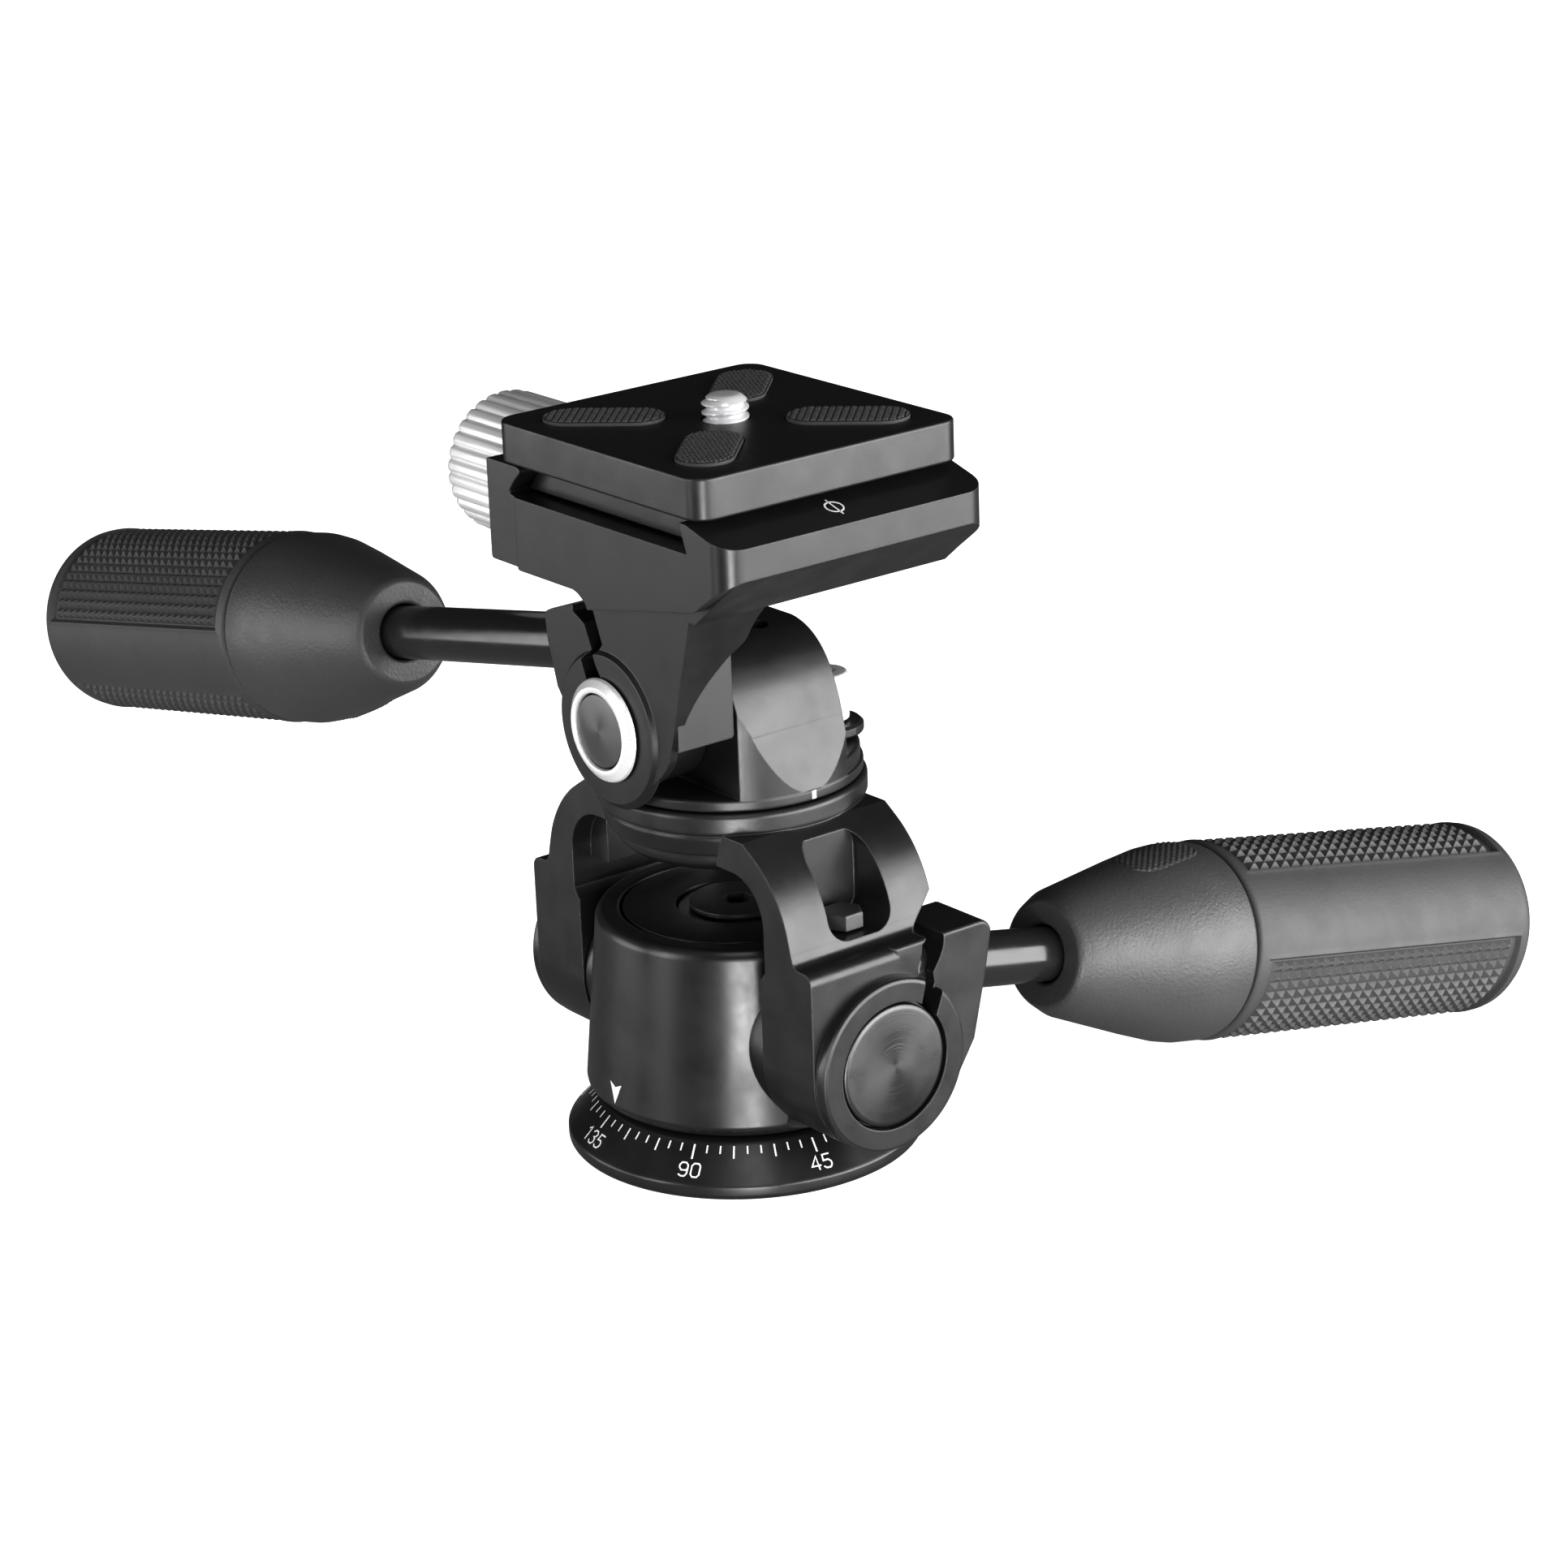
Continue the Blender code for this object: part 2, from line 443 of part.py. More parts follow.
finish("pivot_ring", place(revolve([
    (5.3, -20.9), (7.2, -20.9), (7.0, -21.4), (6.0, -22.1), (5.3, -22.1)], 48),
    (0, 0, SIDE_Z), (0, 1, 0)), carrier, material("pivot_ring_chrome", (0.75, 0.75, 0.76), 0.2, 1.0))
finish("pivot_insert", place(revolve([
    (0.0, -20.0), (5.0, -20.0), (5.0, -21.6), (4.8, -21.8), (0.0, -21.9)], 36),
    (0, 0, SIDE_Z), (0, 1, 0)), carrier, material("pivot_insert_satin", (0.06, 0.06, 0.065), 0.3, 0.8))

# ---------------------------------------------------------------- jaw and clamp knob
JAW_XZ = [(-23.4, 83.4), (-23.0, 83.0), (-17.3, 82.9), (-16.95, 83.2), (-16.95, 92.6),
          (-18.2, 93.0), (-15.6, 96.4), (-15.9, 97.0), (-23.0, 97.05), (-23.3, 96.7)]
jaw = prism(JAW_XZ, 'XZ', -21.6, 21.6, 0.45, 2, 30.0,
            lambda e: all(abs(v.co.y) > 21.5 for v in e.verts))
jaw = boolean(jaw, cylinder(3.0, 16.0, 25.0, 24, (0, 0, KNOB_Z), (-1, 0, 0)))
finish("sliding_jaw", jaw, jaw_j, material("jaw_anodised", (0.022, 0.022, 0.023), 0.38, 0.7))
for i, y in ((1, 15.0), (2, -15.0)):
    finish("jaw_pin_%d" % i, cylinder(1.5, 10.5, 16.75, 16, (0, y, KNOB_Z), (-1, 0, 0)), jaw_j,
           material("jaw_pin_%d_steel" % i, (0.5, 0.5, 0.5), 0.3, 1.0))

RIBS = 20
knob = bmesh.new()
rim = []
for i in range(RIBS * 2):
    a = 2 * pi * i / (RIBS * 2)
    r = KNOB_R - 0.12 if i % 2 == 0 else KNOB_R - 0.5
    rim.append((r * cos(a), r * sin(a)))
knob.free()
knob = prism(rim, 'XY', 24.0, 51.4)
knob = boolean(knob, revolve([(0.0, 23.0), (8.8, 23.0), (8.8, 23.9), (KNOB_R, 25.0), (KNOB_R, 50.6),
                              (9.5, 51.4), (7.4, 51.4), (6.9, 50.8), (0.0, 50.8)], 40), 'INTERSECT')
knob = boolean(knob, cylinder(2.8, 20.0, 38.0, 24))
knob = place(knob, (0, 0, KNOB_Z), (-1, 0, 0))
finish("clamp_knob", knob, knob_j, material("knob_silver", (0.75, 0.75, 0.76), 0.3, 1.0))
finish("clamp_screw", cylinder(2.5, 5.0, 37.6, 24, (0, 0, KNOB_Z), (-1, 0, 0)), knob_j,
       material("clamp_screw_steel", (0.5, 0.5, 0.5), 0.3, 1.0))

# ---------------------------------------------------------------- camera plate
px0, px1 = PLATE_CX - PLATE_X / 2, PLATE_CX + PLATE_X / 2
plate = prism(rounded(px0, px1, -PLATE_Y / 2, PLATE_Y / 2, 3.0, 6), 'XY', PLATE_BOT, PLATE_TOP,
              0.45, 2, 60.0)
DOVE = [(-15.0, 97.6), (-15.0, 96.7), (-17.6, 93.4), (-17.4, 93.2), (20.8, 93.2), (21.1, 93.4),
        (19.8, 96.7), (19.8, 97.6)]
dove = prism(DOVE, 'XZ', -18.5, 18.5)
plate = boolean(plate, dove, 'UNION')
PADS = []
for i in range(4):
    a = radians(45 + 90 * i)
    PADS.append((PLATE_CX + 16.3 * cos(a), 16.3 * sin(a), a))


def stadium(cx, cy, a, length, width, n=8):
    h = length / 2 - width / 2
    pts = arc(h, 0, width / 2, -90, 90, n) + arc(-h, 0, width / 2, 90, 270, n)
    return [(cx + x * cos(a) - y * sin(a), cy + x * sin(a) + y * cos(a)) for x, y in pts]


plate = boolean(plate, [
    cylinder(3.4, 90.0, 104.0, 32, (PLATE_CX, 0, 0)),
    cylinder(8.6, 90.0, 98.9, 40, (PLATE_CX, 0, 0))]
    + [prism(stadium(x, y, a, 16.9, 8.2), 'XY', PLATE_TOP - 0.9, PLATE_TOP + 1.0) for x, y, a in PADS])
finish("camera_plate", plate, plate_j, material("plate_anodised", (0.022, 0.022, 0.023), 0.4, 0.7))
for i, (x, y, a) in enumerate(PADS):
    finish("plate_pad_%d" % (i + 1), prism(stadium(x, y, a, 16.5, 7.8), 'XY', PLATE_TOP - 0.7,
                                           PLATE_TOP + 0.6, 0.2, 1, 60.0), plate_j,
           material("pad_%d_rubber" % (i + 1), (0.02, 0.02, 0.02), 0.8, 0.0))
cscrew = revolve([(0.0, 94.6), (7.6, 94.6), (8.2, 95.0), (8.2, 98.2), (7.9, 98.5), (3.17, 98.5),
                  (3.17, 105.3), (2.5, 106.0), (0.0, 106.3)], 32)
cscrew = boolean(cscrew, box(-9.0, 9.0, -0.8, 0.8, 94.0, 96.2))
bmesh.ops.translate(cscrew, vec=(PLATE_CX, 0, 0), verts=cscrew.verts[:])
finish("camera_screw", cscrew, screw_j, material("screw_steel", (0.7, 0.7, 0.7), 0.25, 1.0))


# ---------------------------------------------------------------- handles
def handle(side, p0, d, start, seam0, tip, rod_j, grip_j):
    """Rod with threaded tip, stop ring, cone collar and rubber grip; start is
    where the cone's small face lies along the rod."""
    rod = revolve([(0.0, tip[1]), (1.9, tip[1]), (1.9, tip[0]), (ROD_R - 0.3, tip[0]),
                   (ROD_R, tip[0] + 0.3), (ROD_R, 96.0), (2.0, 96.0), (2.0, 98.4), (0.0, 98.4)], 28)
    finish(side + "_rod", place(rod, p0, d), rod_j,
           material(side + "_rod_satin", (0.12, 0.12, 0.12), 0.28, 1.0))
    stop = revolve([(2.2, 96.3), (4.6, 96.3), (4.6, 97.9), (2.2, 97.9)], 20)
    finish(side + "_stop_ring", place(stop, p0, d), rod_j,
           material(side + "_stop_ring_polymer", (0.3, 0.3, 0.3), 0.5, 0.0))
    cone = revolve([(ROD_HOLE_R, start), (CONE_R0 - 0.5, start), (CONE_R0, start + 0.4),
                    (9.3, start + 2.9), (12.6, start + 15.5), (14.0, start + 21.3),
                    (CONE_R1, start + 23.0), (CONE_R1, start + CONE_LEN - 0.6),
                    (CONE_R1 - 0.4, start + CONE_LEN - 0.2), (5.4, start + CONE_LEN - 0.2),
                    (5.4, start + 9.0), (ROD_HOLE_R, start + 9.0)], 40)
    finish(side + "_cone", place(cone, p0, d), grip_j,
           material(side + "_cone_satin", (0.03, 0.03, 0.03), 0.42, 0.4))
    g0 = start + CONE_LEN + 0.1
    g1 = start + GRIP_END
    grip = revolve([(5.4, g0), (GRIP_R - 0.5, g0), (GRIP_R, g0 + 0.5), (GRIP_R, g1 - 4.5),
                    (GRIP_R - 0.5, g1 - 2.6), (GRIP_R - 1.6, g1 - 1.1), (GRIP_R - 3.2, g1 - 0.3),
                    (GRIP_R - 5.0, g1), (0.0, g1), (0.0, g1 - 3.0), (5.4, g1 - 3.0)], 40)
    finish(side + "_grip", place(grip, p0, d), grip_j,
           material(side + "_grip_rubber", (0.02, 0.02, 0.02), 0.65, 0.0))


handle("right", RIGHT_P0, RIGHT_D, 14.15, 42.8, (-12.2, -18.6), right_rod_j, right_grip_j)
handle("left", LEFT_P0, LEFT_D, 50.3, 78.8, (-4.1, -13.4), left_rod_j, left_grip_j)
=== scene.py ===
import bpy
import bmesh
from math import pi, cos, sin, radians, degrees, sqrt, atan2, floor
from mathutils import Vector, Matrix


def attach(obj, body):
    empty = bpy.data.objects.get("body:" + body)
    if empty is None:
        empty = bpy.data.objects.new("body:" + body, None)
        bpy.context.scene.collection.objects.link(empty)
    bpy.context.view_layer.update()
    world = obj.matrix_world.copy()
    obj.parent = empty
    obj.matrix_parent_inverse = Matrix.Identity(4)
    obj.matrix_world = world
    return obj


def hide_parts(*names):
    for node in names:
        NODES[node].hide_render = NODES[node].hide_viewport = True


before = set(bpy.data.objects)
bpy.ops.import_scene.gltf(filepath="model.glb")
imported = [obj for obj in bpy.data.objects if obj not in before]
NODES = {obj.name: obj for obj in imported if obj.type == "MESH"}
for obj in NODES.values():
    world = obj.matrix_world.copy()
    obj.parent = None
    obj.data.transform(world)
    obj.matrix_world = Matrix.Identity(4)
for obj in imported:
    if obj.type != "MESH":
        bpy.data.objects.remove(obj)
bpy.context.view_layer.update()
SCENE = bpy.context.scene
MM = 0.001

TILT_Z = 19.7
SIDE_Z = 63.8
FORK_IN, FORK_OUT, RING_OUT = 20.6, 31.5, 33.5
ARM_R, BORE_R = 12.25, 9.0
PLATFORM_R, POST_R = 18.5, 18.0
ROD_R, ROD_HOLE_R, GRIP_R = 3.85, 4.1, 14.4
CONE_R0, CONE_R1, CONE_LEN, GRIP_END = 7.88, 14.2, 28.5, 88.0
PLATE_X, PLATE_Y, PLATE_CX, PLATE_TOP, PLATE_BOT = 45.1, 43.9, 1.8, 102.9, 97.2
KNOB_R, KNOB_Z = 10.3, 87.4
RIGHT_P0 = Vector((26.0, 19.0, 27.36))
RIGHT_D = Vector((0.0, cos(radians(11.5)), -sin(radians(11.5))))
LEFT_P0 = Vector((-9.0, -14.0, 72.44))
LEFT_D = Vector((-cos(radians(11.0)), 0.0, -sin(radians(11.0))))


# ------------------------------------------------------------------ materials
def new_material(name):
    m = bpy.data.materials.new(name)
    m.use_nodes = True
    nt = m.node_tree
    b = nt.nodes.get("Principled BSDF")
    return m, nt, b


def add(nt, kind, **values):
    n = nt.nodes.new(kind)
    for k, v in values.items():
        setattr(n, k, v)
    return n


def noise(nt, coord, scale, detail=3.0, rough=0.6):
    n = add(nt, "ShaderNodeTexNoise")
    n.inputs["Scale"].default_value = scale
    n.inputs["Detail"].default_value = detail
    n.inputs["Roughness"].default_value = rough
    nt.links.new(coord, n.inputs["Vector"])
    return n.outputs["Fac"]


def ramp(nt, fac, p0, p1, c0, c1):
    r = add(nt, "ShaderNodeMapRange")
    r.inputs["From Min"].default_value = p0
    r.inputs["From Max"].default_value = p1
    r.inputs["To Min"].default_value = c0
    r.inputs["To Max"].default_value = c1
    nt.links.new(fac, r.inputs["Value"])
    return r.outputs["Result"]


def surface(name, color, rough, metal, spec=0.5, grain=0.0, grain_scale=3500.0, rough_var=0.06,
            edge=0.0, edge_highlight_color=(0.25, 0.25, 0.25), bevel=0.0, tone=0.12, brushed=None, coat=0.0):
    """A finish in metres: fine grain bump, uneven roughness, slightly uneven
    tone, edges painted lighter as a painted highlight, and softened corners."""
    m, nt, b = new_material(name)
    geo = add(nt, "ShaderNodeTexCoord").outputs["Object"]
    L = nt.links.new
    # tone
    tone_fac = noise(nt, geo, 60.0, 4.0)
    mix = add(nt, "ShaderNodeMix", data_type='RGBA')
    mix.inputs["A"].default_value = tuple(c * (1 - tone) for c in color) + (1,)
    mix.inputs["B"].default_value = tuple(c * (1 + tone) for c in color) + (1,)
    L(tone_fac, mix.inputs["Factor"])
    col = mix.outputs["Result"]
    normal = None
    if bevel:
        bv = add(nt, "ShaderNodeBevel", samples=4)
        bv.inputs["Radius"].default_value = bevel
        normal = bv.outputs["Normal"]
    if edge and bevel:
        # painted highlight: where the softened normal leaves the true one, the edge is painted a lighter colour
        g = add(nt, "ShaderNodeNewGeometry")
        dot = add(nt, "ShaderNodeVectorMath", operation='DOT_PRODUCT')
        L(g.outputs["Normal"], dot.inputs[0])
        L(bv.outputs["Normal"], dot.inputs[1])
        e = ramp(nt, dot.outputs["Value"], 0.995, 0.90, 0.0, edge)
        edge_highlight_mix = add(nt, "ShaderNodeMix", data_type='RGBA')
        L(e, edge_highlight_mix.inputs["Factor"])
        L(col, edge_highlight_mix.inputs["A"])
        edge_highlight_mix.inputs["B"].default_value = tuple(edge_highlight_color) + (1,)
        col = edge_highlight_mix.outputs["Result"]
    L(col, b.inputs["Base Color"])
    rv = noise(nt, geo, 180.0, 3.0)
    L(ramp(nt, rv, 0.3, 0.7, rough - rough_var, rough + rough_var), b.inputs["Roughness"])
    if brushed:
        # fine turning marks: rings round an axis, brushed = (axis, centre, scale, strength)
        axis, centre, bscale, strength = brushed
        sep = add(nt, "ShaderNodeSeparateXYZ")
        off = add(nt, "ShaderNodeVectorMath", operation='SUBTRACT')
        L(geo, off.inputs[0])
        off.inputs[1].default_value = tuple(c * MM for c in centre)
        L(off.outputs["Vector"], sep.inputs["Vector"])
        others = [k for k in "XYZ" if k != axis]
        comb = add(nt, "ShaderNodeCombineXYZ")
        L(sep.outputs[others[0]], comb.inputs["X"])
        L(sep.outputs[others[1]], comb.inputs["Y"])
        ln = add(nt, "ShaderNodeVectorMath", operation='LENGTH')
        L(comb.outputs["Vector"], ln.inputs[0])
        c2 = add(nt, "ShaderNodeCombineXYZ")
        L(ln.outputs["Value"], c2.inputs["X"])
        n2 = noise(nt, c2.outputs["Vector"], bscale, 2.0)
        bp2 = add(nt, "ShaderNodeBump")
        bp2.inputs["Strength"].default_value = strength
        bp2.inputs["Distance"].default_value = 0.00004
        L(n2, bp2.inputs["Height"])
        if normal:
            L(normal, bp2.inputs["Normal"])
        normal = bp2.outputs["Normal"]
        tn = add(nt, "ShaderNodeTangent", direction_type='RADIAL', axis=axis)
        L(tn.outputs["Tangent"], b.inputs["Tangent"])
        b.inputs["Anisotropic"].default_value = 0.75
    if grain:
        gn = noise(nt, geo, grain_scale, 2.0, 0.7)
        bp = add(nt, "ShaderNodeBump")
        bp.inputs["Strength"].default_value = grain
        bp.inputs["Distance"].default_value = 0.0001
        L(gn, bp.inputs["Height"])
        if normal:
            L(normal, bp.inputs["Normal"])
        normal = bp.outputs["Normal"]
    if normal:
        L(normal, b.inputs["Normal"])
    b.inputs["Metallic"].default_value = metal
    b.inputs["Specular IOR Level"].default_value = spec
    b.inputs["Coat Weight"].default_value = coat
    m.diffuse_color = tuple(color) + (1,)
    return m


# the lighter edge colour given to these finishes is a painted highlight
ANOD = surface("satin_black_anodised", (0.016, 0.016, 0.0165), 0.36, 0.0, 0.8, grain=0.08,
               grain_scale=2600, bevel=0.00022, edge=0.35, edge_highlight_color=(0.16, 0.16, 0.16))
ANOD_SMOOTH = surface("turned_black_anodised", (0.016, 0.016, 0.0165), 0.34, 0.0, 0.85, grain=0.05,
                      grain_scale=2600, bevel=0.0002, edge=0.35, edge_highlight_color=(0.16, 0.16, 0.16))
CAST = surface("satin_black_casting", (0.018, 0.018, 0.0185), 0.36, 0.0, 0.85, grain=0.10,
               grain_scale=2200, bevel=0.0003, edge=0.4, edge_highlight_color=(0.2, 0.2, 0.2))
CAP = surface("brushed_black_cap", (0.11, 0.11, 0.11), 0.32, 0.85, 0.5,
              brushed=('X', (0.0, 0.0, TILT_Z), 9000.0, 0.5), bevel=0.00015)
SILVER = surface("silver_anodised", (0.84, 0.84, 0.84), 0.36, 0.3, 0.5, grain=0.06, tone=0.04)
CHROME = surface("bright_metal", (0.86, 0.86, 0.87), 0.24, 0.35, 0.5, tone=0.03, rough_var=0.03,
                 bevel=0.0001)
RING_CHROME = surface("turned_bright_ring", (0.88, 0.88, 0.88), 0.28, 0.35, 0.5, tone=0.03,
                      brushed=('Y', (0.0, 0.0, SIDE_Z), 7000.0, 0.3))
INSERT = surface("satin_dark_insert", (0.13, 0.13, 0.13), 0.32, 0.3, 0.6, tone=0.05,
                 brushed=('Y', (0.0, 0.0, SIDE_Z), 7000.0, 0.2))
ROD = surface("black_satin_rod", (0.035, 0.035, 0.035), 0.2, 0.2, 0.9, tone=0.1, rough_var=0.04)
CONE = surface("grained_polymer", (0.080, 0.080, 0.080), 0.46, 0.0, 0.7, grain=0.8,
               grain_scale=1900, tone=0.15)
RUBBER = surface("soft_rubber", (0.080, 0.080, 0.080), 0.52, 0.0, 0.5, grain=0.5,
                 grain_scale=2200, tone=0.15)
PAD = surface("pad_rubber", (0.12, 0.12, 0.12), 0.62, 0.0, 0.45, grain=0.6,
              grain_scale=3200, tone=0.2)
STEEL = surface("satin_steel", (0.35, 0.35, 0.36), 0.32, 1.0, 0.5, grain=0.05)
DARK = surface("dark_polymer", (0.02, 0.02, 0.02), 0.5, 0.0, 0.5, grain=0.2)
WHITE = surface("white_print", (0.86, 0.86, 0.86), 0.5, 0.0, 0.4, tone=0.03)
BOLT = surface("dark_bolt", (0.10, 0.10, 0.10), 0.36, 0.6, 0.5, grain=0.08, bevel=0.00015)
GREY_SCREW = surface("grey_screw", (0.12, 0.12, 0.12), 0.4, 0.5, 0.5, grain=0.2, bevel=0.0002)

DEFAULTS = {
    "pan_dial": ANOD_SMOOTH, "thread_insert": STEEL, "pan_bolt": STEEL, "pan_friction_washer": DARK,
    "bolt_washer": STEEL, "pan_housing": ANOD_SMOOTH, "housing_top_cover": ANOD,
    "tilt_drum_right": ANOD, "tilt_drum_left": ANOD, "tilt_cap_right": CAP, "tilt_cap_left": CAP,
    "pan_lock_knob": DARK, "pan_lock_stud": STEEL, "tilt_fork": CAST, "drag_screw_right": GREY_SCREW,
    "drag_screw_left": GREY_SCREW, "side_tilt_post": CAST, "post_bolt": STEEL,
    "post_screw_collar": ANOD_SMOOTH, "post_clamp_screw": CHROME, "side_tilt_shaft": STEEL,
    "right_rod": ROD, "right_stop_ring": DARK, "left_rod": ROD, "left_stop_ring": DARK,
    "right_cone": CONE, "left_cone": CONE, "right_grip": RUBBER, "left_grip": RUBBER,
    "clamp_body": ANOD, "pivot_ring": RING_CHROME, "pivot_insert": INSERT, "sliding_jaw": ANOD,
    "jaw_pin_1": STEEL, "jaw_pin_2": STEEL, "clamp_knob": SILVER, "clamp_screw": STEEL,
    "camera_plate": ANOD, "plate_pad_1": PAD, "plate_pad_2": PAD, "plate_pad_3": PAD,
    "plate_pad_4": PAD, "camera_screw": CHROME,
}
for name, mat in DEFAULTS.items():
    ob = NODES[name]
    if not ob.data.materials:
        ob.data.materials.append(mat)
    for s in ob.material_slots:
        s.link = 'OBJECT'
        s.material = mat


# ------------------------------------------------------------------ mesh tools
def clean(bm):
    bmesh.ops.remove_doubles(bm, verts=bm.verts[:], dist=0.0005)
    bmesh.ops.recalc_face_normals(bm, faces=bm.faces[:])
    return bm


def revolve(profile, segs=128):
    bm = bmesh.new()
    vs = [bm.verts.new((r, 0.0, z)) for r, z in profile]
    open_line = profile[0][0] == 0.0 and profile[-1][0] == 0.0
    n = len(vs)
    es = [bm.edges.new((vs[i], vs[(i + 1) % n])) for i in range(n - 1 if open_line else n)]
    bmesh.ops.spin(bm, geom=vs + es, cent=(0, 0, 0), axis=(0, 0, 1),
                   angle=2 * pi, steps=segs, use_duplicate=False)
    bmesh.ops.remove_doubles(bm, verts=bm.verts[:], dist=0.0005)
    bmesh.ops.dissolve_degenerate(bm, edges=bm.edges[:], dist=0.00001)
    bmesh.ops.recalc_face_normals(bm, faces=bm.faces[:])
    return bm


def place(bm, origin, direction):
    q = Vector((0, 0, 1)).rotation_difference(Vector(direction).normalized())
    m = Matrix.Translation(Vector(origin)) @ q.to_matrix().to_4x4()
    bmesh.ops.transform(bm, matrix=m, verts=bm.verts[:])
    return bm


def bevel_edges(bm, offset, segs=2, min_angle=30.0, keep=None):
    es = [e for e in bm.edges if len(e.link_faces) == 2
          and e.calc_face_angle(0.0) > radians(min_angle) and (keep is None or keep(e))]
    if es:
        bmesh.ops.bevel(bm, geom=es, offset=offset, segments=segs, profile=0.5,
                        affect='EDGES', clamp_overlap=True)
        clean(bm)
    return bm


def prism(points, plane, lo, hi, bevel=0.0, segs=2, min_angle=30.0, keep=None):
    def put(a, b, c):
        if plane == 'XY':
            return (a, b, c)
        if plane == 'XZ':
            return (a, c, b)
        return (c, a, b)
    bm = bmesh.new()
    f = bm.faces.new([bm.verts.new(put(a, b, lo)) for a, b in points])
    r = bmesh.ops.extrude_face_region(bm, geom=[f])
    moved = [g for g in r['geom'] if isinstance(g, bmesh.types.BMVert)]
    bmesh.ops.translate(bm, verts=moved, vec=Vector(put(0, 0, hi - lo)))
    clean(bm)
    if bevel:
        bevel_edges(bm, bevel, segs, min_angle, keep)
    return bm


def box(x0, x1, y0, y1, z0, z1):
    bm = bmesh.new()
    bmesh.ops.create_cube(bm, size=1.0)
    bmesh.ops.scale(bm, vec=(x1 - x0, y1 - y0, z1 - z0), verts=bm.verts[:])
    bmesh.ops.translate(bm, vec=((x0 + x1) / 2, (y0 + y1) / 2, (z0 + z1) / 2), verts=bm.verts[:])
    return bm


def cylinder(r, lo, hi, segs=64, origin=(0, 0, 0), direction=(0, 0, 1)):
    return place(revolve([(0.0, lo), (r, lo), (r, hi), (0.0, hi)], segs), origin, direction)


def arc(cx, cy, r, a0, a1, n):
    return [(cx + r * cos(radians(a0 + (a1 - a0) * i / n)),
             cy + r * sin(radians(a0 + (a1 - a0) * i / n))) for i in range(n + 1)]


def rounded(x0, x1, y0, y1, r, n=10):
    return (arc(x1 - r, y1 - r, r, 0, 90, n) + arc(x0 + r, y1 - r, r, 90, 180, n)
            + arc(x0 + r, y0 + r, r, 180, 270, n) + arc(x1 - r, y0 + r, r, 270, 360, n))


def temp_object(bm, name):
    me = bpy.data.meshes.new(name)
    bm.to_mesh(me)
    bm.free()
    ob = bpy.data.objects.new(name, me)
    SCENE.collection.objects.link(ob)
    return ob


def boolean(bm, others, op='DIFFERENCE', solver='EXACT'):
    if not isinstance(others, (list, tuple)):
        others = [others]
    ob = temp_object(bm, "work")
    cutters = []
    for i, o in enumerate(others):
        c = temp_object(o, "cutter%d" % i)
        mod = ob.modifiers.new("b%d" % i, 'BOOLEAN')
        mod.operation = op
        mod.solver = solver
        mod.object = c
        cutters.append(c)
    dg = bpy.context.evaluated_depsgraph_get()
    me = bpy.data.meshes.new_from_object(ob.evaluated_get(dg))
    out = bmesh.new()
    out.from_mesh(me)
    for c in cutters + [ob]:
        bpy.data.objects.remove(c, do_unlink=True)
    bpy.data.meshes.remove(me)
    bmesh.ops.remove_doubles(out, verts=out.verts[:], dist=0.0005)
    bmesh.ops.dissolve_degenerate(out, edges=out.edges[:], dist=0.00001)
    bmesh.ops.recalc_face_normals(out, faces=out.faces[:])
    return out


def piece(name, bm, body, mat, nodes=(), angle=30.0, flat=False):
    """Store a mesh drawn in millimetres as a piece that rides on a body."""
    bmesh.ops.scale(bm, vec=(MM, MM, MM), verts=bm.verts[:])
    for f in bm.faces:
        f.smooth = True
    for e in bm.edges:
        e.smooth = len(e.link_faces) == 2 and e.calc_face_angle(0.0) < radians(angle)
    me = bpy.data.meshes.new(name)
    bm.to_mesh(me)
    bm.free()
    ob = bpy.data.objects.new(name, me)
    me.materials.append(mat)
    SCENE.collection.objects.link(ob)
    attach(ob, body)
    if nodes:
        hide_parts(*nodes)
    if flat:
        # shading follows the large faces, so bevels stay narrow and crisp
        wn = ob.modifiers.new("flat_faces", 'WEIGHTED_NORMAL')
        wn.mode = 'FACE_AREA'
        wn.weight = 50
        wn.keep_sharp = True
    return ob


# ------------------------------------------------------------------ dial
def fine(profile, r=0.25, n=4, closed=True):
    """Round the corners of a turned outline with small arcs."""
    out = []
    k = len(profile)
    for i in range(k):
        p = Vector(profile[i])
        if not closed and (i == 0 or i == k - 1) or p.x == 0.0:
            out.append(tuple(p))
            continue
        a, b = Vector(profile[i - 1]), Vector(profile[(i + 1) % k])
        da, db = (a - p), (b - p)
        rr = min(r, da.length * 0.4, db.length * 0.4)
        if da.length < 1e-6 or db.length < 1e-6 or da.angle(db) > radians(165):
            out.append(tuple(p))
            continue
        p0, p1 = p + da.normalized() * rr, p + db.normalized() * rr
        for j in range(n + 1):
            t = j / n
            q = p0 * (1 - t) ** 2 + p * 2 * t * (1 - t) + p1 * t ** 2
            out.append((q.x, q.y))
    return out


piece("dial_disc", revolve(fine([
    (7.3, 0.0), (24.5, 0.0), (25.0, 0.6), (25.0, 2.0), (24.7, 2.35), (20.4, 6.65), (19.6, 7.0),
    (7.3, 7.0)], 0.3), 192), "base", ANOD_SMOOTH, ["pan_dial"])

CONE_A = Vector((24.7, 2.35))
CONE_B = Vector((20.4, 6.65))


def on_dial(az, t, lift=0.03):
    """Point of the dial's sloping face; t runs in mm from the rim upwards."""
    d = (CONE_B - CONE_A).normalized()
    n = Vector((-d.y, d.x))
    if n.x < 0:
        n = -n
    p = CONE_A + d * t + n * lift
    a = radians(az)
    return Vector((p.x * cos(a), p.x * sin(a), p.y))


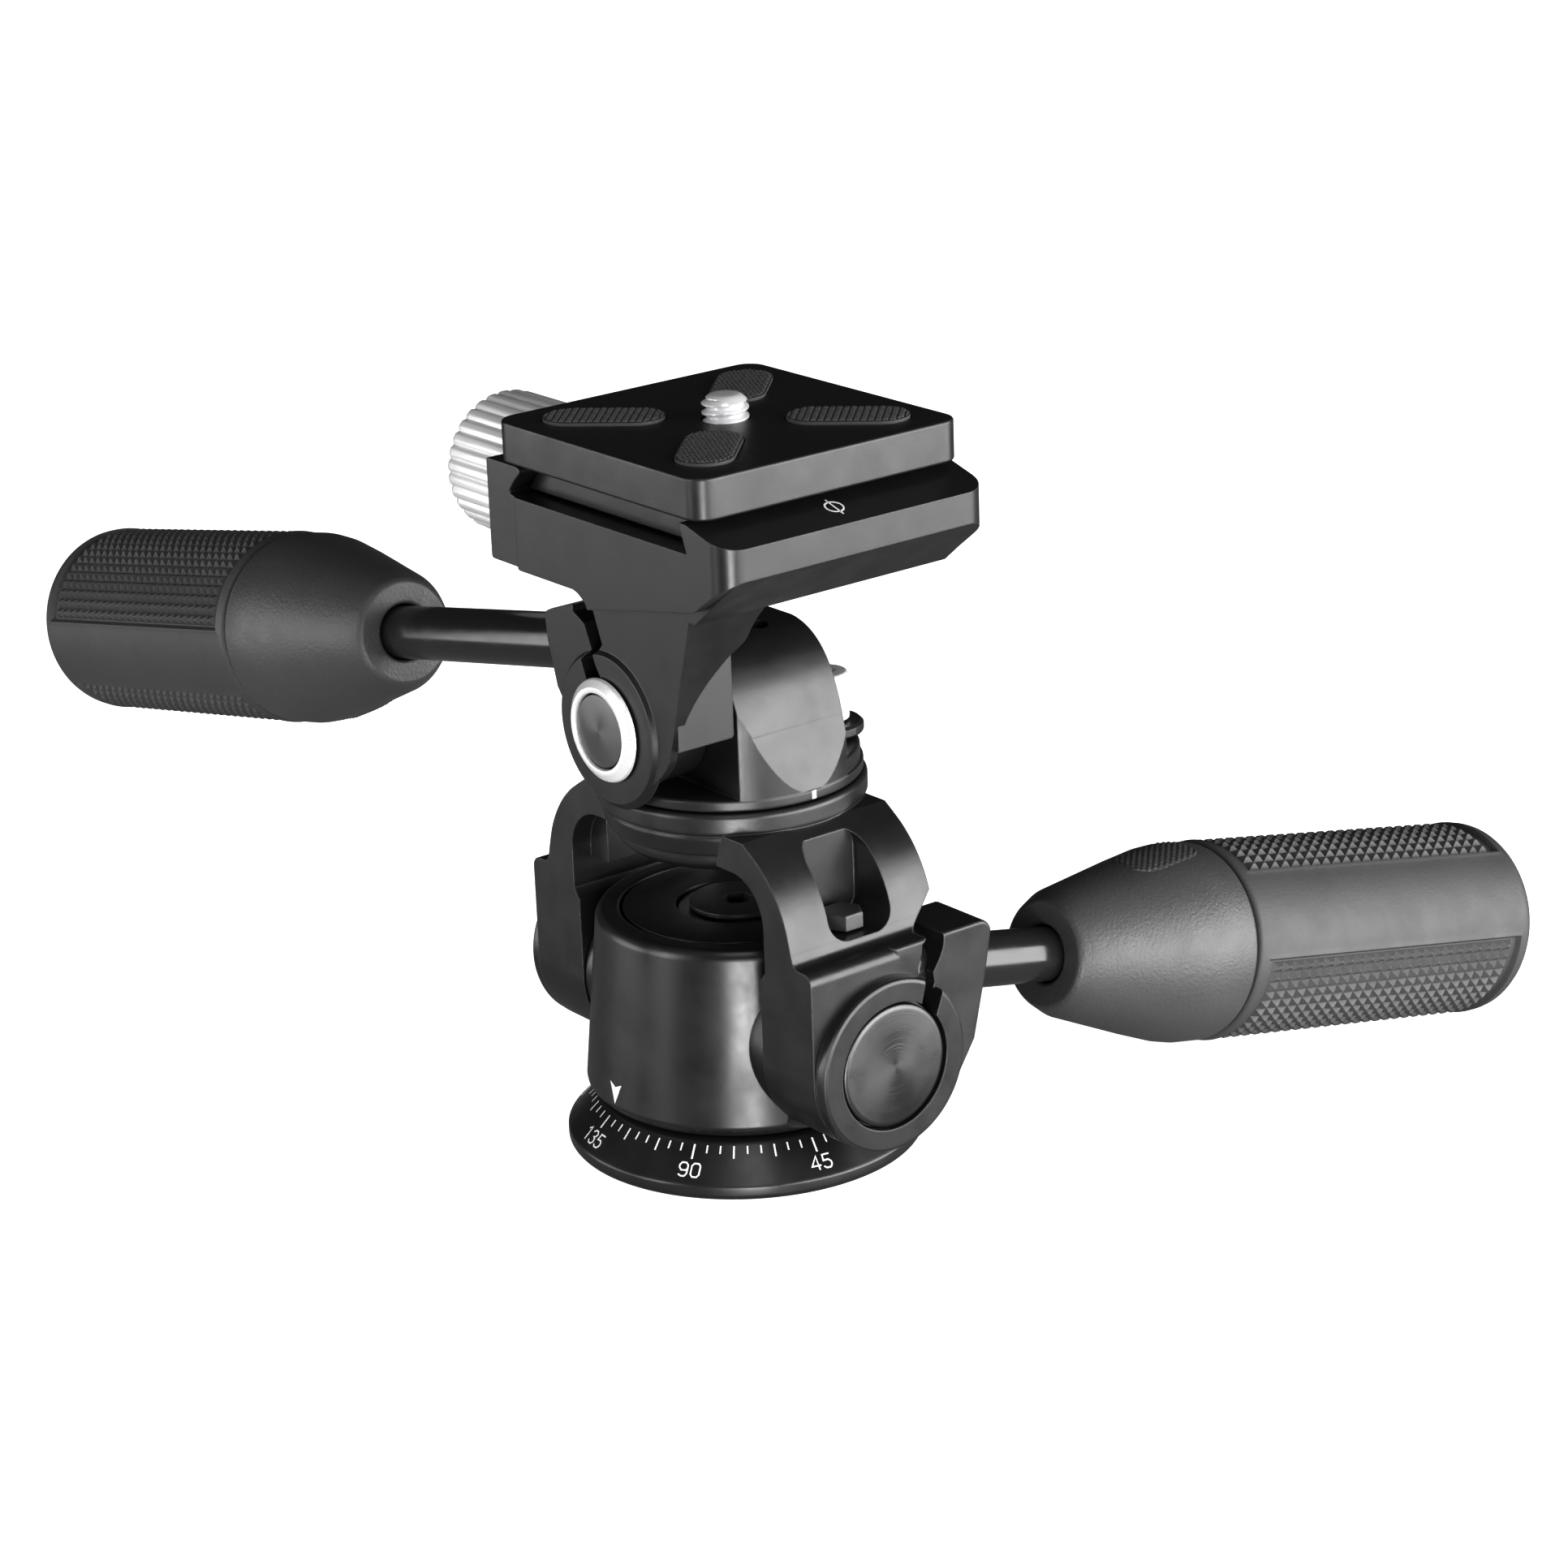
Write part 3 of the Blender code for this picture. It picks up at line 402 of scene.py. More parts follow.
def strip(bm, az, t0, t1, w):
    """A small raised bar on the dial's face, from t0 to t1, w mm wide."""
    low = []
    for lift in (-0.05, 0.035):
        ring = []
        for t, sgn in ((t0, -1), (t0, 1), (t1, 1), (t1, -1)):
            r = on_dial(az, t, 0).to_2d().length
            ring.append(bm.verts.new(on_dial(az + sgn * degrees(w / 2 / r), t, lift)))
        low.append(ring)
    a, b = low
    bm.faces.new(b)
    for i in range(4):
        bm.faces.new((a[i], a[(i + 1) % 4], b[(i + 1) % 4], b[i]))


T_IN = 5.55
ticks = bmesh.new()
for k in range(72):
    deg = k * 5
    az = 33.0 - deg
    if deg % 45 == 0:
        strip(ticks, az, T_IN - 2.15, T_IN, 0.27)
    elif deg % 15 == 0:
        strip(ticks, az, T_IN - 1.8, T_IN, 0.24)
    else:
        strip(ticks, az, T_IN - 1.15, T_IN, 0.22)
piece("dial_scale", ticks, "base", WHITE)

# digits as strokes on a 1 x 1.6 grid
STROKES = {
    "0": [[(0.25, 0), (0.75, 0), (1, 0.3), (1, 1.3), (0.75, 1.6), (0.25, 1.6), (0, 1.3), (0, 0.3), (0.25, 0)]],
    "1": [[(0.15, 1.3), (0.6, 1.6), (0.6, 0)]],
    "2": [[(0, 1.25), (0.2, 1.6), (0.8, 1.6), (1, 1.3), (0.9, 0.95), (0, 0.0), (1, 0.0)]],
    "3": [[(0, 1.35), (0.25, 1.6), (0.75, 1.6), (1, 1.3), (0.85, 0.95), (0.5, 0.85), (0.9, 0.7), (1, 0.35), (0.75, 0), (0.25, 0), (0, 0.25)]],
    "4": [[(0.8, 0), (0.8, 1.6), (0, 0.45), (1.05, 0.45)]],
    "5": [[(0.95, 1.6), (0.15, 1.6), (0.1, 0.9), (0.7, 0.95), (1, 0.65), (1, 0.3), (0.75, 0), (0.25, 0), (0, 0.2)]],
    "7": [[(0, 1.6), (1, 1.6), (0.4, 0)]],
    "8": [[(0.25, 0.85), (0.05, 1.1), (0.05, 1.35), (0.3, 1.6), (0.7, 1.6), (0.95, 1.35), (0.95, 1.1), (0.75, 0.85), (0.25, 0.85), (0, 0.55), (0, 0.3), (0.25, 0), (0.75, 0), (1, 0.3), (1, 0.55), (0.75, 0.85)]],
    "9": [[(0.05, 0.15), (0.3, 0), (0.75, 0), (1, 0.35), (1, 1.3), (0.75, 1.6), (0.25, 1.6), (0, 1.3), (0, 1.0), (0.25, 0.7), (0.8, 0.7), (1, 0.95)]],
}


def digit(bm, ch, place_fn, w):
    """Strokes of one digit as flat ribbons; place_fn maps (u, v) to a point."""
    for line in STROKES[ch]:
        pts = [Vector(p) for p in line]
        closed = (pts[0] - pts[-1]).length < 1e-6
        if closed:
            pts = pts[:-1]
        n = len(pts)
        rows = []
        for i in range(n):
            if closed:
                a, b = pts[i - 1], pts[(i + 1) % n]
            else:
                a, b = pts[max(i - 1, 0)], pts[min(i + 1, n - 1)]
            p = pts[i]
            d1 = (p - a).normalized() if (p - a).length > 1e-6 else (b - p).normalized()
            d2 = (b - p).normalized() if (b - p).length > 1e-6 else d1
            d = (d1 + d2).normalized()
            nrm = Vector((-d.y, d.x))
            k = w / 2 / max(0.55, cos(d1.angle(d2) / 2) if d1.angle(d2) > 1e-4 else 1.0)
            p0 = p
            if not closed and i == 0:
                p0 = p - d2 * w * 0.4
            if not closed and i == n - 1:
                p0 = p + d1 * w * 0.4
            rows.append([bm.verts.new(place_fn(q.x, q.y)) for q in (p0 + nrm * k, p0 - nrm * k)])
        m = n if closed else n - 1
        for i in range(m):
            a, b = rows[i], rows[(i + 1) % n]
            try:
                bm.faces.new((a[0], a[1], b[1], b[0]))
            except ValueError:
                pass


numbers = bmesh.new()
for k in range(8):
    deg = k * 45
    az = 33.0 - deg
    text = str(deg)
    cw, gap, h = 1.2, 0.55, 1.95
    unit = h / 1.6
    total = len(text) * cw + (len(text) - 1) * gap
    for i, ch in enumerate(text):
        x0 = -total / 2 + i * (cw + gap)

        def put(u, v, x0=x0, az=az):
            t = 0.85 + v * unit
            r = on_dial(az, t, 0).to_2d().length
            x = x0 + u * cw
            return on_dial(az + degrees(x / r), t, 0.035)
        digit(numbers, ch, put, 0.19)
numbers = clean(numbers)
ob = piece("dial_numbers", numbers, "base", WHITE, angle=80)
sol = ob.modifiers.new("thick", 'SOLIDIFY')
sol.thickness = 0.00004
sol.offset = -1.0

# ------------------------------------------------------------------ housing
housing = revolve(fine([
    (18.0, 7.5), (20.4, 7.5), (21.9, 9.0), (22.0, 9.6), (19.75, 33.1), (19.0, 34.1),
    (16.6, 34.1), (16.3, 33.8), (16.3, 32.3), (4.9, 32.3), (4.9, 8.1), (18.0, 8.1)], 0.6, 5), 144)
trunnion = cylinder(12.0, -20.3, 20.3, 96, (0, 0, TILT_Z), (1, 0, 0))
trunnion = boolean(trunnion, cylinder(6.5, 0.0, 40.0, 24))
housing = boolean(housing, trunnion, 'UNION')
housing = boolean(housing, [
    cylinder(13.2, 20.3, 24.0, 96, (0, 0, TILT_Z), (1, 0, 0)),
    cylinder(13.2, 20.3, 24.0, 96, (0, 0, TILT_Z), (-1, 0, 0)),
    cylinder(2.7, 14.5, 24.0, 32, (0, 0, 12.0), (0, 1, 0))], 'DIFFERENCE', 'MANIFOLD')
piece("housing_shell", housing, "pan", ANOD_SMOOTH, ["pan_housing"], angle=20, flat=True)


def on_wall(az, z, lift=0.03):
    """Point of the housing's tapered wall."""
    r = 22.0 + (19.75 - 22.0) * (z - 9.6) / (33.1 - 9.6) + lift
    a = radians(az)
    return Vector((r * cos(a), r * sin(a), z))


ARROW_AZ, ARROW_Z = -91.5, 9.75
arrow = bmesh.new()


def arrow_pt(x, y, lift):
    z = ARROW_Z + y
    return on_wall(ARROW_AZ + degrees(x / 21.7), z, lift)


outline = [(0.0, 0.0), (1.3, 3.05), (0.0, 2.45), (-1.3, 3.05)]
top = [arrow.verts.new(arrow_pt(x, y, 0.05)) for x, y in outline]
mid = arrow.verts.new(arrow_pt(0.0, 1.3, 0.05))
for i in range(4):
    arrow.faces.new((top[i], top[(i + 1) % 4], mid))
ob = piece("index_arrow", arrow, "pan", WHITE, angle=80)
sol = ob.modifiers.new("thick", 'SOLIDIFY')
sol.thickness = 0.00004

piece("cover_ring", revolve(fine([(8.5, 32.6), (15.9, 32.6), (15.9, 34.0), (8.5, 34.0)], 0.2), 128), "pan",
      ANOD_SMOOTH, ["housing_top_cover"])
bolt = revolve(fine([(0.0, 6.2), (4.1, 6.2), (4.5, 6.7), (4.5, 33.7), (6.7, 33.7), (6.7, 34.4), (0.0, 34.4)],
                    0.18, 3, False), 96)
bolt = boolean(bolt, prism([(2.3 * cos(i * pi / 3), 2.3 * sin(i * pi / 3)) for i in range(6)], 'XY', 31.5, 36.0))
piece("bolt_head", bolt, "base", BOLT, ["pan_bolt"])
for side, sx in (("right", 1), ("left", -1)):
    piece("pivot_cap_" + side, place(revolve(fine([
        (0.0, 32.1), (8.6, 32.1), (8.6, 33.2), (8.1, 33.45), (5.0, 33.58), (0.0, 33.66)], 0.3, 4, False),
        128), (0, 0, TILT_Z), (sx, 0, 0)), "pan", CAP, ["tilt_cap_" + side], angle=40)

lock = revolve(fine([(0.0, 33.6), (6.2, 33.6), (7.0, 32.8), (7.0, 25.2), (6.2, 24.4), (4.4, 24.4),
                     (4.4, 22.2), (2.8, 22.2), (2.8, 31.0), (0.0, 31.0)], 0.5, 4, False), 96)
lock = boolean(lock, [cylinder(0.95, 23.5, 34.5, 16,
                               (7.3 * cos(i * pi / 6), 7.3 * sin(i * pi / 6), 0.0)) for i in range(12)])
piece("lock_handwheel", place(lock, (0, 0, 12.0), (0, 1, 0)), "pan_lock", DARK, ["pan_lock_knob"])

# ------------------------------------------------------------------ fork
ARM_XZ = ([(12.0, 50.2), (12.0, 45.5)] + arc(15.2, 39.0, 6.5, 90, 0, 14) +
          [(21.7, 33.0), (FORK_IN, 31.5), (FORK_IN, 7.4), (FORK_OUT, 7.4), (FORK_OUT, 33.7)] +
          arc(29.9, 33.7, 1.6, 0, 90, 8)[1:] + arc(28.9, 36.6, 1.3, 270, 190, 6) +
          [(27.3, 37.6), (26.4, 40.8), (25.2, 43.3), (23.6, 45.6), (21.6, 47.6), (19.8, 48.9),
           (17.8, 50.2)])


def smooth_line(points, n=4):
    """Catmull-Rom spline through the points, ends kept."""
    out = []
    k = len(points)
    P = [Vector(p) for p in points]
    for i in range(k - 1):
        p0, p1, p2, p3 = P[max(i - 1, 0)], P[i], P[i + 1], P[min(i + 2, k - 1)]
        for j in range(n):
            t = j / n
            q = 0.5 * ((2 * p1) + (p2 - p0) * t + (2 * p0 - 5 * p1 + 4 * p2 - p3) * t * t
                       + (3 * p1 - p0 - 3 * p2 + p3) * t ** 3)
            out.append((q.x, q.y))
    out.append(tuple(P[-1]))
    return out


OUTER = smooth_line([(27.45, 36.9), (27.3, 37.6), (26.4, 40.8), (25.2, 43.3), (23.6, 45.6), (21.6, 47.6),
                     (19.8, 48.9), (17.8, 50.2)], 4)
ARM_XZ = ARM_XZ[:-8] + OUTER
ARM_YZ = [(-ARM_R, 52.0), (-ARM_R, TILT_Z)] + arc(0, TILT_Z, ARM_R, 180, 360, 64)[1:] + [(ARM_R, 52.0)]
EAR_YZ = ([(2.0, 35.3)] + arc(17.0, 33.2, 2.1, 90, 5, 8) +
          [(18.0, 27.5), (16.8, 22.6), (15.8, 18.5), (12.5, 13.5), (6.0, 19.7)])
SLIT_YZ = [(6.8, 34.6), (8.2, 35.6), (12.6, 40.2), (14.0, 40.2), (14.0, 36.0), (22.0, 36.0),
           (22.0, 35.25), (10.6, 35.25), (10.6, 34.0), (10.3, 33.0), (9.8, 32.0), (8.6, 30.2), (8.8, 28.7),
           (7.2, 24.6), (4.4, 25.6), (5.9, 31.2), (6.7, 33.5)]


def fork_arm(sx):
    arm = prism([(sx * x, z) for x, z in ARM_XZ], 'XZ', -13.0, 13.0)
    arm = boolean(arm, prism(ARM_YZ, 'YZ', -40.0, 40.0), 'INTERSECT')
    parts = []
    if sx > 0:
        parts.append(prism(EAR_YZ, 'YZ', FORK_IN + 1.1, FORK_OUT, 0.5, 3, 30.0,
                           lambda e: all(v.co.x > FORK_OUT - 0.1 for v in e.verts)))
    parts.append(place(revolve([(8.5, FORK_OUT - 1.0), (ARM_R - 0.35, FORK_OUT - 1.0),
                                (ARM_R - 0.35, FORK_OUT + 0.05), (ARM_R - 0.12, FORK_OUT + 0.35),
                                (ARM_R - 0.1, RING_OUT - 0.5), (ARM_R - 0.25, RING_OUT - 0.15),
                                (ARM_R - 0.6, RING_OUT), (8.5, RING_OUT)], 128),
                       (0, 0, TILT_Z), (sx, 0, 0)))
    return boolean(arm, parts, 'UNION')


def window(sx):
    """Pocket in the curved upper half of an arm, wider at its mouth."""
    w = bmesh.new()
    rings = []
    for x, grow in ((19.8, -0.5), (20.4, 0.0), (30.0, 0.6)):
        pts = rounded(-5.1 - grow * 0.5, 5.1 + grow * 0.5, 36.7 - grow * 0.2, 49.2, 2.9 + grow * 0.3, 8)
        rings.append([w.verts.new((sx * x, a, b)) for a, b in pts])
    n = len(rings[0])
    for a, b in zip(rings, rings[1:]):
        for i in range(n):
            w.faces.new((a[i], a[(i + 1) % n], b[(i + 1) % n], b[i]))
    w.faces.new(rings[0])
    w.faces.new(rings[-1])
    bmesh.ops.recalc_face_normals(w, faces=w.faces[:])
    return w


bridge = revolve(fine([(0.0, 44.0), (14.9, 44.0), (16.2, 45.3), (16.2, 46.9), (17.4, 46.9), (18.2, 50.0),
                       (0.0, 50.0)], 0.9, 6, False), 144)
platform = revolve(fine([(0.0, 49.9), (17.9, 49.9), (PLATFORM_R, 50.35), (PLATFORM_R, 52.6),
                         (18.1, 53.1), (0.0, 53.1)], 0.3, 4, False), 144)
fork = boolean(fork_arm(1), [bridge, platform, box(17.6, 22.4, -9.0, 9.0, 37.0, 46.5),
                             box(-22.4, -17.6, -9.0, 9.0, 37.0, 46.5), fork_arm(-1)], 'UNION')
fork = boolean(fork, [
    cylinder(BORE_R, 18.0, 36.0, 96, (0, 0, TILT_Z), (1, 0, 0)),
    cylinder(BORE_R, 18.0, 36.0, 96, (0, 0, TILT_Z), (-1, 0, 0)),
    window(1), window(-1),
    prism(SLIT_YZ, 'YZ', 15.0, 36.0),
    cylinder(ROD_HOLE_R, -12.4, 4.0, 48, RIGHT_P0, RIGHT_D),
    cylinder(2.1, -19.6, 0.0, 24, RIGHT_P0, RIGHT_D),
    cylinder(3.0, 43.0, 54.0, 32),
    cylinder(5.2, 43.0, 49.1, 32)])
piece("fork_casting", fork, "fork", CAST, ["tilt_fork"], angle=20, flat=True)
for side, sx in (("right", 1), ("left", -1)):
    lug = prism([(sx * 23.0 + 2.9 * cos((i + 0.5) * pi / 3), 0.2 + 2.9 * sin((i + 0.5) * pi / 3)) for i in range(6)],
                'XY', 36.95, 39.2, 0.35, 3, 40.0, lambda e: all(v.co.z > 39.1 for v in e.verts))
    piece("pocket_lug_" + side, lug, "fork", GREY_SCREW, ["drag_screw_" + side], flat=True)

# ------------------------------------------------------------------ post
FLAT_F, FLAT_R = -10.0, 7.0


def slope(z):
    return (133.2 - z) / 4.4


post = revolve(fine([(0.0, 53.4), (17.9, 53.4), (POST_R, 53.6), (POST_R, 54.7), (17.7, 54.9),
                     (0.0, 54.9)], 0.2, 3, False), 144)


def bezier(p0, p1, p2, p3, n):
    out = []
    for i in range(n + 1):
        t = i / n
        q = (Vector(p0) * (1 - t) ** 3 + Vector(p1) * 3 * t * (1 - t) ** 2 + Vector(p2) * 3 * t * t * (1 - t)
             + Vector(p3) * t ** 3)
        out.append((q.x, q.y))
    return out


CROWN = bezier((slope(63.5), 63.5), (slope(63.5) - 1.42, 69.75), (11.5, 74.4), (5.5, 75.04), 36)
side_xz = ([(-slope(54.0), 54.0), (slope(54.0), 54.0)]
           + CROWN + [(-x, z) for x, z in reversed(CROWN)])
upper = prism(side_xz, 'XZ', FLAT_F, FLAT_R, 0.6, 4, 30.0, lambda e: all(v.co.z > 60.0 for v in e.verts))
upper = boolean(upper, cylinder(POST_R - 0.12, 50.0, 80.0, 144), 'INTERSECT')
rear = prism(arc(0.0, 0.0, 17.6, 20, 160, 24), 'XY', 54.5, 56.9, 0.5, 3)
post = boolean(post, [upper, rear], 'UNION')
post = boolean(post, [
    cylinder(5.1, -30.0, -3.0, 64, (0, 0, SIDE_Z), (0, 1, 0)),
    cylinder(1.6, 71.5, 77.0, 32, (5.5, 1.0, 0.0)),
    cylinder(3.0, 52.0, 57.5, 32)])
piece("post_casting", post, "fork", CAST, ["side_tilt_post"], angle=9, flat=True)
mark = bmesh.new()
rows = []
for z in (53.6, 54.75):
    rows.append([mark.verts.new(((POST_R + 0.03) * cos(radians(a)), (POST_R + 0.03) * sin(radians(a)), z))
                 for a in (-1.1, 1.1)])
mark.faces.new((rows[0][0], rows[0][1], rows[1][1], rows[1][0]))
ob = piece("post_index_line", mark, "fork", WHITE)
sol = ob.modifiers.new("thick", 'SOLIDIFY')
sol.thickness = 0.00004

pin = revolve(fine([(0.0, 57.3), (1.6, 57.3), (1.6, 59.1), (3.2, 59.1), (3.2, 65.4), (2.9, 65.8),
                    (0.0, 65.8)], 0.25, 3, False), 64)
pin = boolean(pin, prism([(1.6 * cos(i * pi / 3), 1.6 * sin(i * pi / 3)) for i in range(6)], 'XY', 63.6, 67.0))
bmesh.ops.translate(pin, vec=(5.5, 12.4, 0.0), verts=pin.verts[:])
piece("rear_socket_screw", pin, "fork", CHROME, ["post_clamp_screw"])

# ------------------------------------------------------------------ carrier
BODY_XZ = [(-16.6, 82.9), (-16.3, 82.7), (-4.0, 82.7), (-3.0, 82.4), (-2.0, 81.8), (-1.3, 81.2), (-1.0, 80.5),
           (0.0, 80.7), (10.9, 82.9), (21.8, 85.0), (22.8, 85.4), (29.3, 89.9), (29.5, 90.3),
           (29.5, 94.4), (21.5, 96.7), (20.2, 96.7), (20.2, 96.5), (21.6, 92.8), (-16.6, 92.8)]
BODY2_XZ = [(-16.6, 82.9), (-16.3, 82.6), (20.0, 82.6), (22.8, 84.9), (29.5, 90.1), (29.5, 94.4), (21.5, 96.7),
            (20.2, 96.7), (20.2, 96.5), (21.6, 92.8), (-16.6, 92.8)]
plan = rounded(-40.0, 29.5, -22.0, 22.0, 3.6, 14)
ARM_OUT = ([(0.5, 84.0), (-3.0, 80.9), (-11.9, 77.9), (-12.8, 77.6), (-13.5, 77.2), (-13.8, 76.6), (-13.75, 75.9),
            (-13.4, 73.1), (-11.7, 67.0), (-8.8, 63.1), (-7.6, 59.6)] +
           arc(0, SIDE_Z, 9.5, 225, 300, 24) +
           smooth_line([(8.3, 57.6), (11.0, 59.6), (12.8, 61.8), (13.5, 63.8), (14.2, 66.3), (15.8, 72.3),
                        (18.9, 83.7)], 4) + [(19.0, 84.0)])
COVE_YZ = ([(-20.0, 50.0), (-18.8, 50.0)] +
           smooth_line([(-18.8, 63.9), (-18.1, 67.9), (-15.9, 72.0), (-12.6, 75.7), (-10.0, 77.7), (-8.7, 80.4),
                        (-6.0, 83.5)], 4) + [(-20.0, 83.5)])
slab = boolean(prism(ARM_OUT, 'XZ', -24.0, 0.0), prism(COVE_YZ, 'YZ', -30.0, 40.0), 'INTERSECT')
BLOCK_OUT = [(0.5, 83.2), (-3.0, 80.9), (-11.9, 77.9), (-13.2, 77.5), (-13.8, 76.8),
             (-13.4, 73.1), (-11.7, 67.0), (-9.1, SIDE_Z), (14.5, SIDE_Z), (14.5, 83.2)]
block = prism(BLOCK_OUT, 'XZ', -19.4, -10.3, 0.5, 3, 30.0,
              lambda e: all(v.co.y > -10.5 for v in e.verts) and all(v.co.z < 82.0 for v in e.verts))
hub = cylinder(8.6, -19.3, -10.35, 96, (0, 0, SIDE_Z), (0, 1, 0))
boss = place(revolve([(5.6, -20.6), (10.2, -20.6), (11.2, -19.5), (5.6, -19.5)], 128),
             (0, 0, SIDE_Z), (0, 1, 0))
cbody = boolean(prism(BODY2_XZ, 'XZ', -20.0, 22.0), [prism(BODY_XZ, 'XZ', -22.0, -19.5), slab, block, hub, boss],
                'UNION')
cbody = boolean(cbody, prism(plan, 'XY', 40.0, 98.0), 'INTERSECT')
EAR_SLIT = [(-2.6, 81.6), (-2.6, 79.8), (-0.8, 75.3), (-2.3, 73.6), (-1.8, 72.4), (-0.7, 70.8),
            (-1.2, 66.0), (-3.6, 66.5), (-4.0, 69.8), (-5.1, 72.4), (-3.3, 74.1), (-4.8, 77.4),
            (-7.2, 78.6), (-7.4, 81.6)]
cbody = boolean(cbody, [
    cylinder(6.1, -23.0, -9.0, 64, (0, 0, SIDE_Z), (0, 1, 0)),
    prism(EAR_SLIT, 'XZ', -24.0, -9.0),
    cylinder(ROD_HOLE_R, -4.4, 8.0, 48, LEFT_P0, LEFT_D),
    cylinder(2.1, -14.0, 0.0, 24, LEFT_P0, LEFT_D),
    cylinder(2.9, 1.6, 20.0, 32, (0, 0, KNOB_Z), (-1, 0, 0))], 'DIFFERENCE', 'MANIFOLD')
piece("clamp_casting", cbody, "carrier", ANOD, ["clamp_body"], angle=14, flat=True)

piece("button_ring", place(revolve(fine([
    (5.25, -20.9), (7.2, -20.9), (7.0, -21.4), (6.0, -22.1), (5.4, -22.1), (5.25, -21.9)], 0.12), 128),
    (0, 0, SIDE_Z), (0, 1, 0)), "carrier", RING_CHROME, ["pivot_ring"])
piece("button_face", place(revolve(fine([
    (0.0, -20.0), (5.0, -20.0), (5.0, -21.7), (0.0, -21.9)], 0.15, 3, False), 96),
    (0, 0, SIDE_Z), (0, 1, 0)), "carrier", INSERT, ["pivot_insert"])


def on_slope(u, v):
    """Point on the sloping top of the fixed jaw: u along Y, v down the slope."""
    a, b = Vector((21.5, 96.7)), Vector((29.5, 94.4))
    d = (b - a).normalized()
    n = Vector((-d.y, d.x))
    p = a + d * v + n * 0.03
    return Vector((p.x, u, p.y))


MARK_U, MARK_V = -0.96, 4.1
sight = bmesh.new()
for r0, r1 in ((1.12, 1.38),):
    inner = [sight.verts.new(on_slope(MARK_U + r0 * cos(2 * pi * i / 40), MARK_V + r0 * sin(2 * pi * i / 40))) for i in range(40)]
    outer = [sight.verts.new(on_slope(MARK_U + r1 * cos(2 * pi * i / 40), MARK_V + r1 * sin(2 * pi * i / 40))) for i in range(40)]
    for i in range(40):
        j = (i + 1) % 40
        sight.faces.new((inner[i], inner[j], outer[j], outer[i]))
sight.faces.new([sight.verts.new(on_slope(MARK_U + x, MARK_V + y)) for x, y in ((-0.12, -1.95), (0.12, -1.95), (0.12, 1.95), (-0.12, 1.95))])
bmesh.ops.recalc_face_normals(sight, faces=sight.faces[:])
ob = piece("jaw_centre_mark", sight, "carrier", WHITE)
sol = ob.modifiers.new("thick", 'SOLIDIFY')
sol.thickness = 0.00004

JAW_XZ = ([(-23.4, 83.5), (-23.3, 83.1), (-23.0, 82.95), (-17.3, 82.9), (-17.05, 83.0), (-16.95, 83.3),
           (-16.95, 92.6), (-17.3, 92.8), (-18.2, 93.0), (-18.25, 93.3)] +
          smooth_line([(-18.1, 93.6), (-16.9, 95.0), (-15.9, 95.9), (-15.65, 96.4), (-15.9, 96.85), (-16.4, 97.0)], 4) +
          [(-23.0, 97.05), (-23.3, 96.95), (-23.4, 96.6)])
jaw = prism(JAW_XZ, 'XZ', -21.6, 21.6, 0.4, 3, 30.0,
            lambda e: all(abs(v.co.y) > 21.5 for v in e.verts))
jaw = boolean(jaw, cylinder(3.0, 16.0, 25.0, 32, (0, 0, KNOB_Z), (-1, 0, 0)))
piece("jaw_bar", jaw, "jaw", ANOD, ["sliding_jaw"], angle=20, flat=True)

# ------------------------------------------------------------------ clamp knob: rounded ribs and grooves
RIBS = 30
knob = bmesh.new()
PROFILE = [(23.95, -1.5), (24.3, -0.9), (24.9, -0.25), (25.4, 0.0), (50.0, 0.0), (50.6, -0.15), (51.1, -0.55),
           (51.4, -1.2)]
STEPS = RIBS * 8
rings = []
for h, dr in PROFILE:
    ring = []
    for i in range(STEPS):
        a = 2 * pi * i / STEPS
        ph = (i % 8) / 8.0
        groove = 0.42 * max(0.0, 1.0 - abs(ph - 0.5) / 0.26) ** 0.8
        r = KNOB_R - 0.12 + dr - groove * (1.0 if dr > -0.9 else 0.3)
        ring.append(knob.verts.new((r * cos(a), r * sin(a), h)))
    rings.append(ring)
for a, b in zip(rings, rings[1:]):
    for i in range(STEPS):
        j = (i + 1) % STEPS
        knob.faces.new((a[i], a[j], b[j], b[i]))


def cap_ring(bm, ring, rs_hs):
    """Close a ring inwards through circles of the given radius and height."""
    last = ring
    n = len(ring)
    for r, h in rs_hs:
        if r == 0.0:
            c = bm.verts.new((0, 0, h))
            for i in range(n):
                bm.faces.new((last[i], last[(i + 1) % n], c))
            return
        new = [bm.verts.new((r * cos(2 * pi * i / n), r * sin(2 * pi * i / n), h)) for i in range(n)]
        for i in range(n):
            j = (i + 1) % n
            bm.faces.new((last[i], last[j], new[j], new[i]))
        last = new


cap_ring(knob, rings[-1], [(7.5, 51.4), (7.2, 51.3), (6.9, 50.9), (0.0, 50.8)])
cap_ring(knob, rings[0], [(3.0, 23.95), (2.8, 24.1), (2.8, 37.9), (0.0, 38.0)])
bmesh.ops.recalc_face_normals(knob, faces=knob.faces[:])
piece("knob_ribbed", place(knob, (0, 0, KNOB_Z), (-1, 0, 0)), "knob", SILVER, ["clamp_knob"], angle=35)

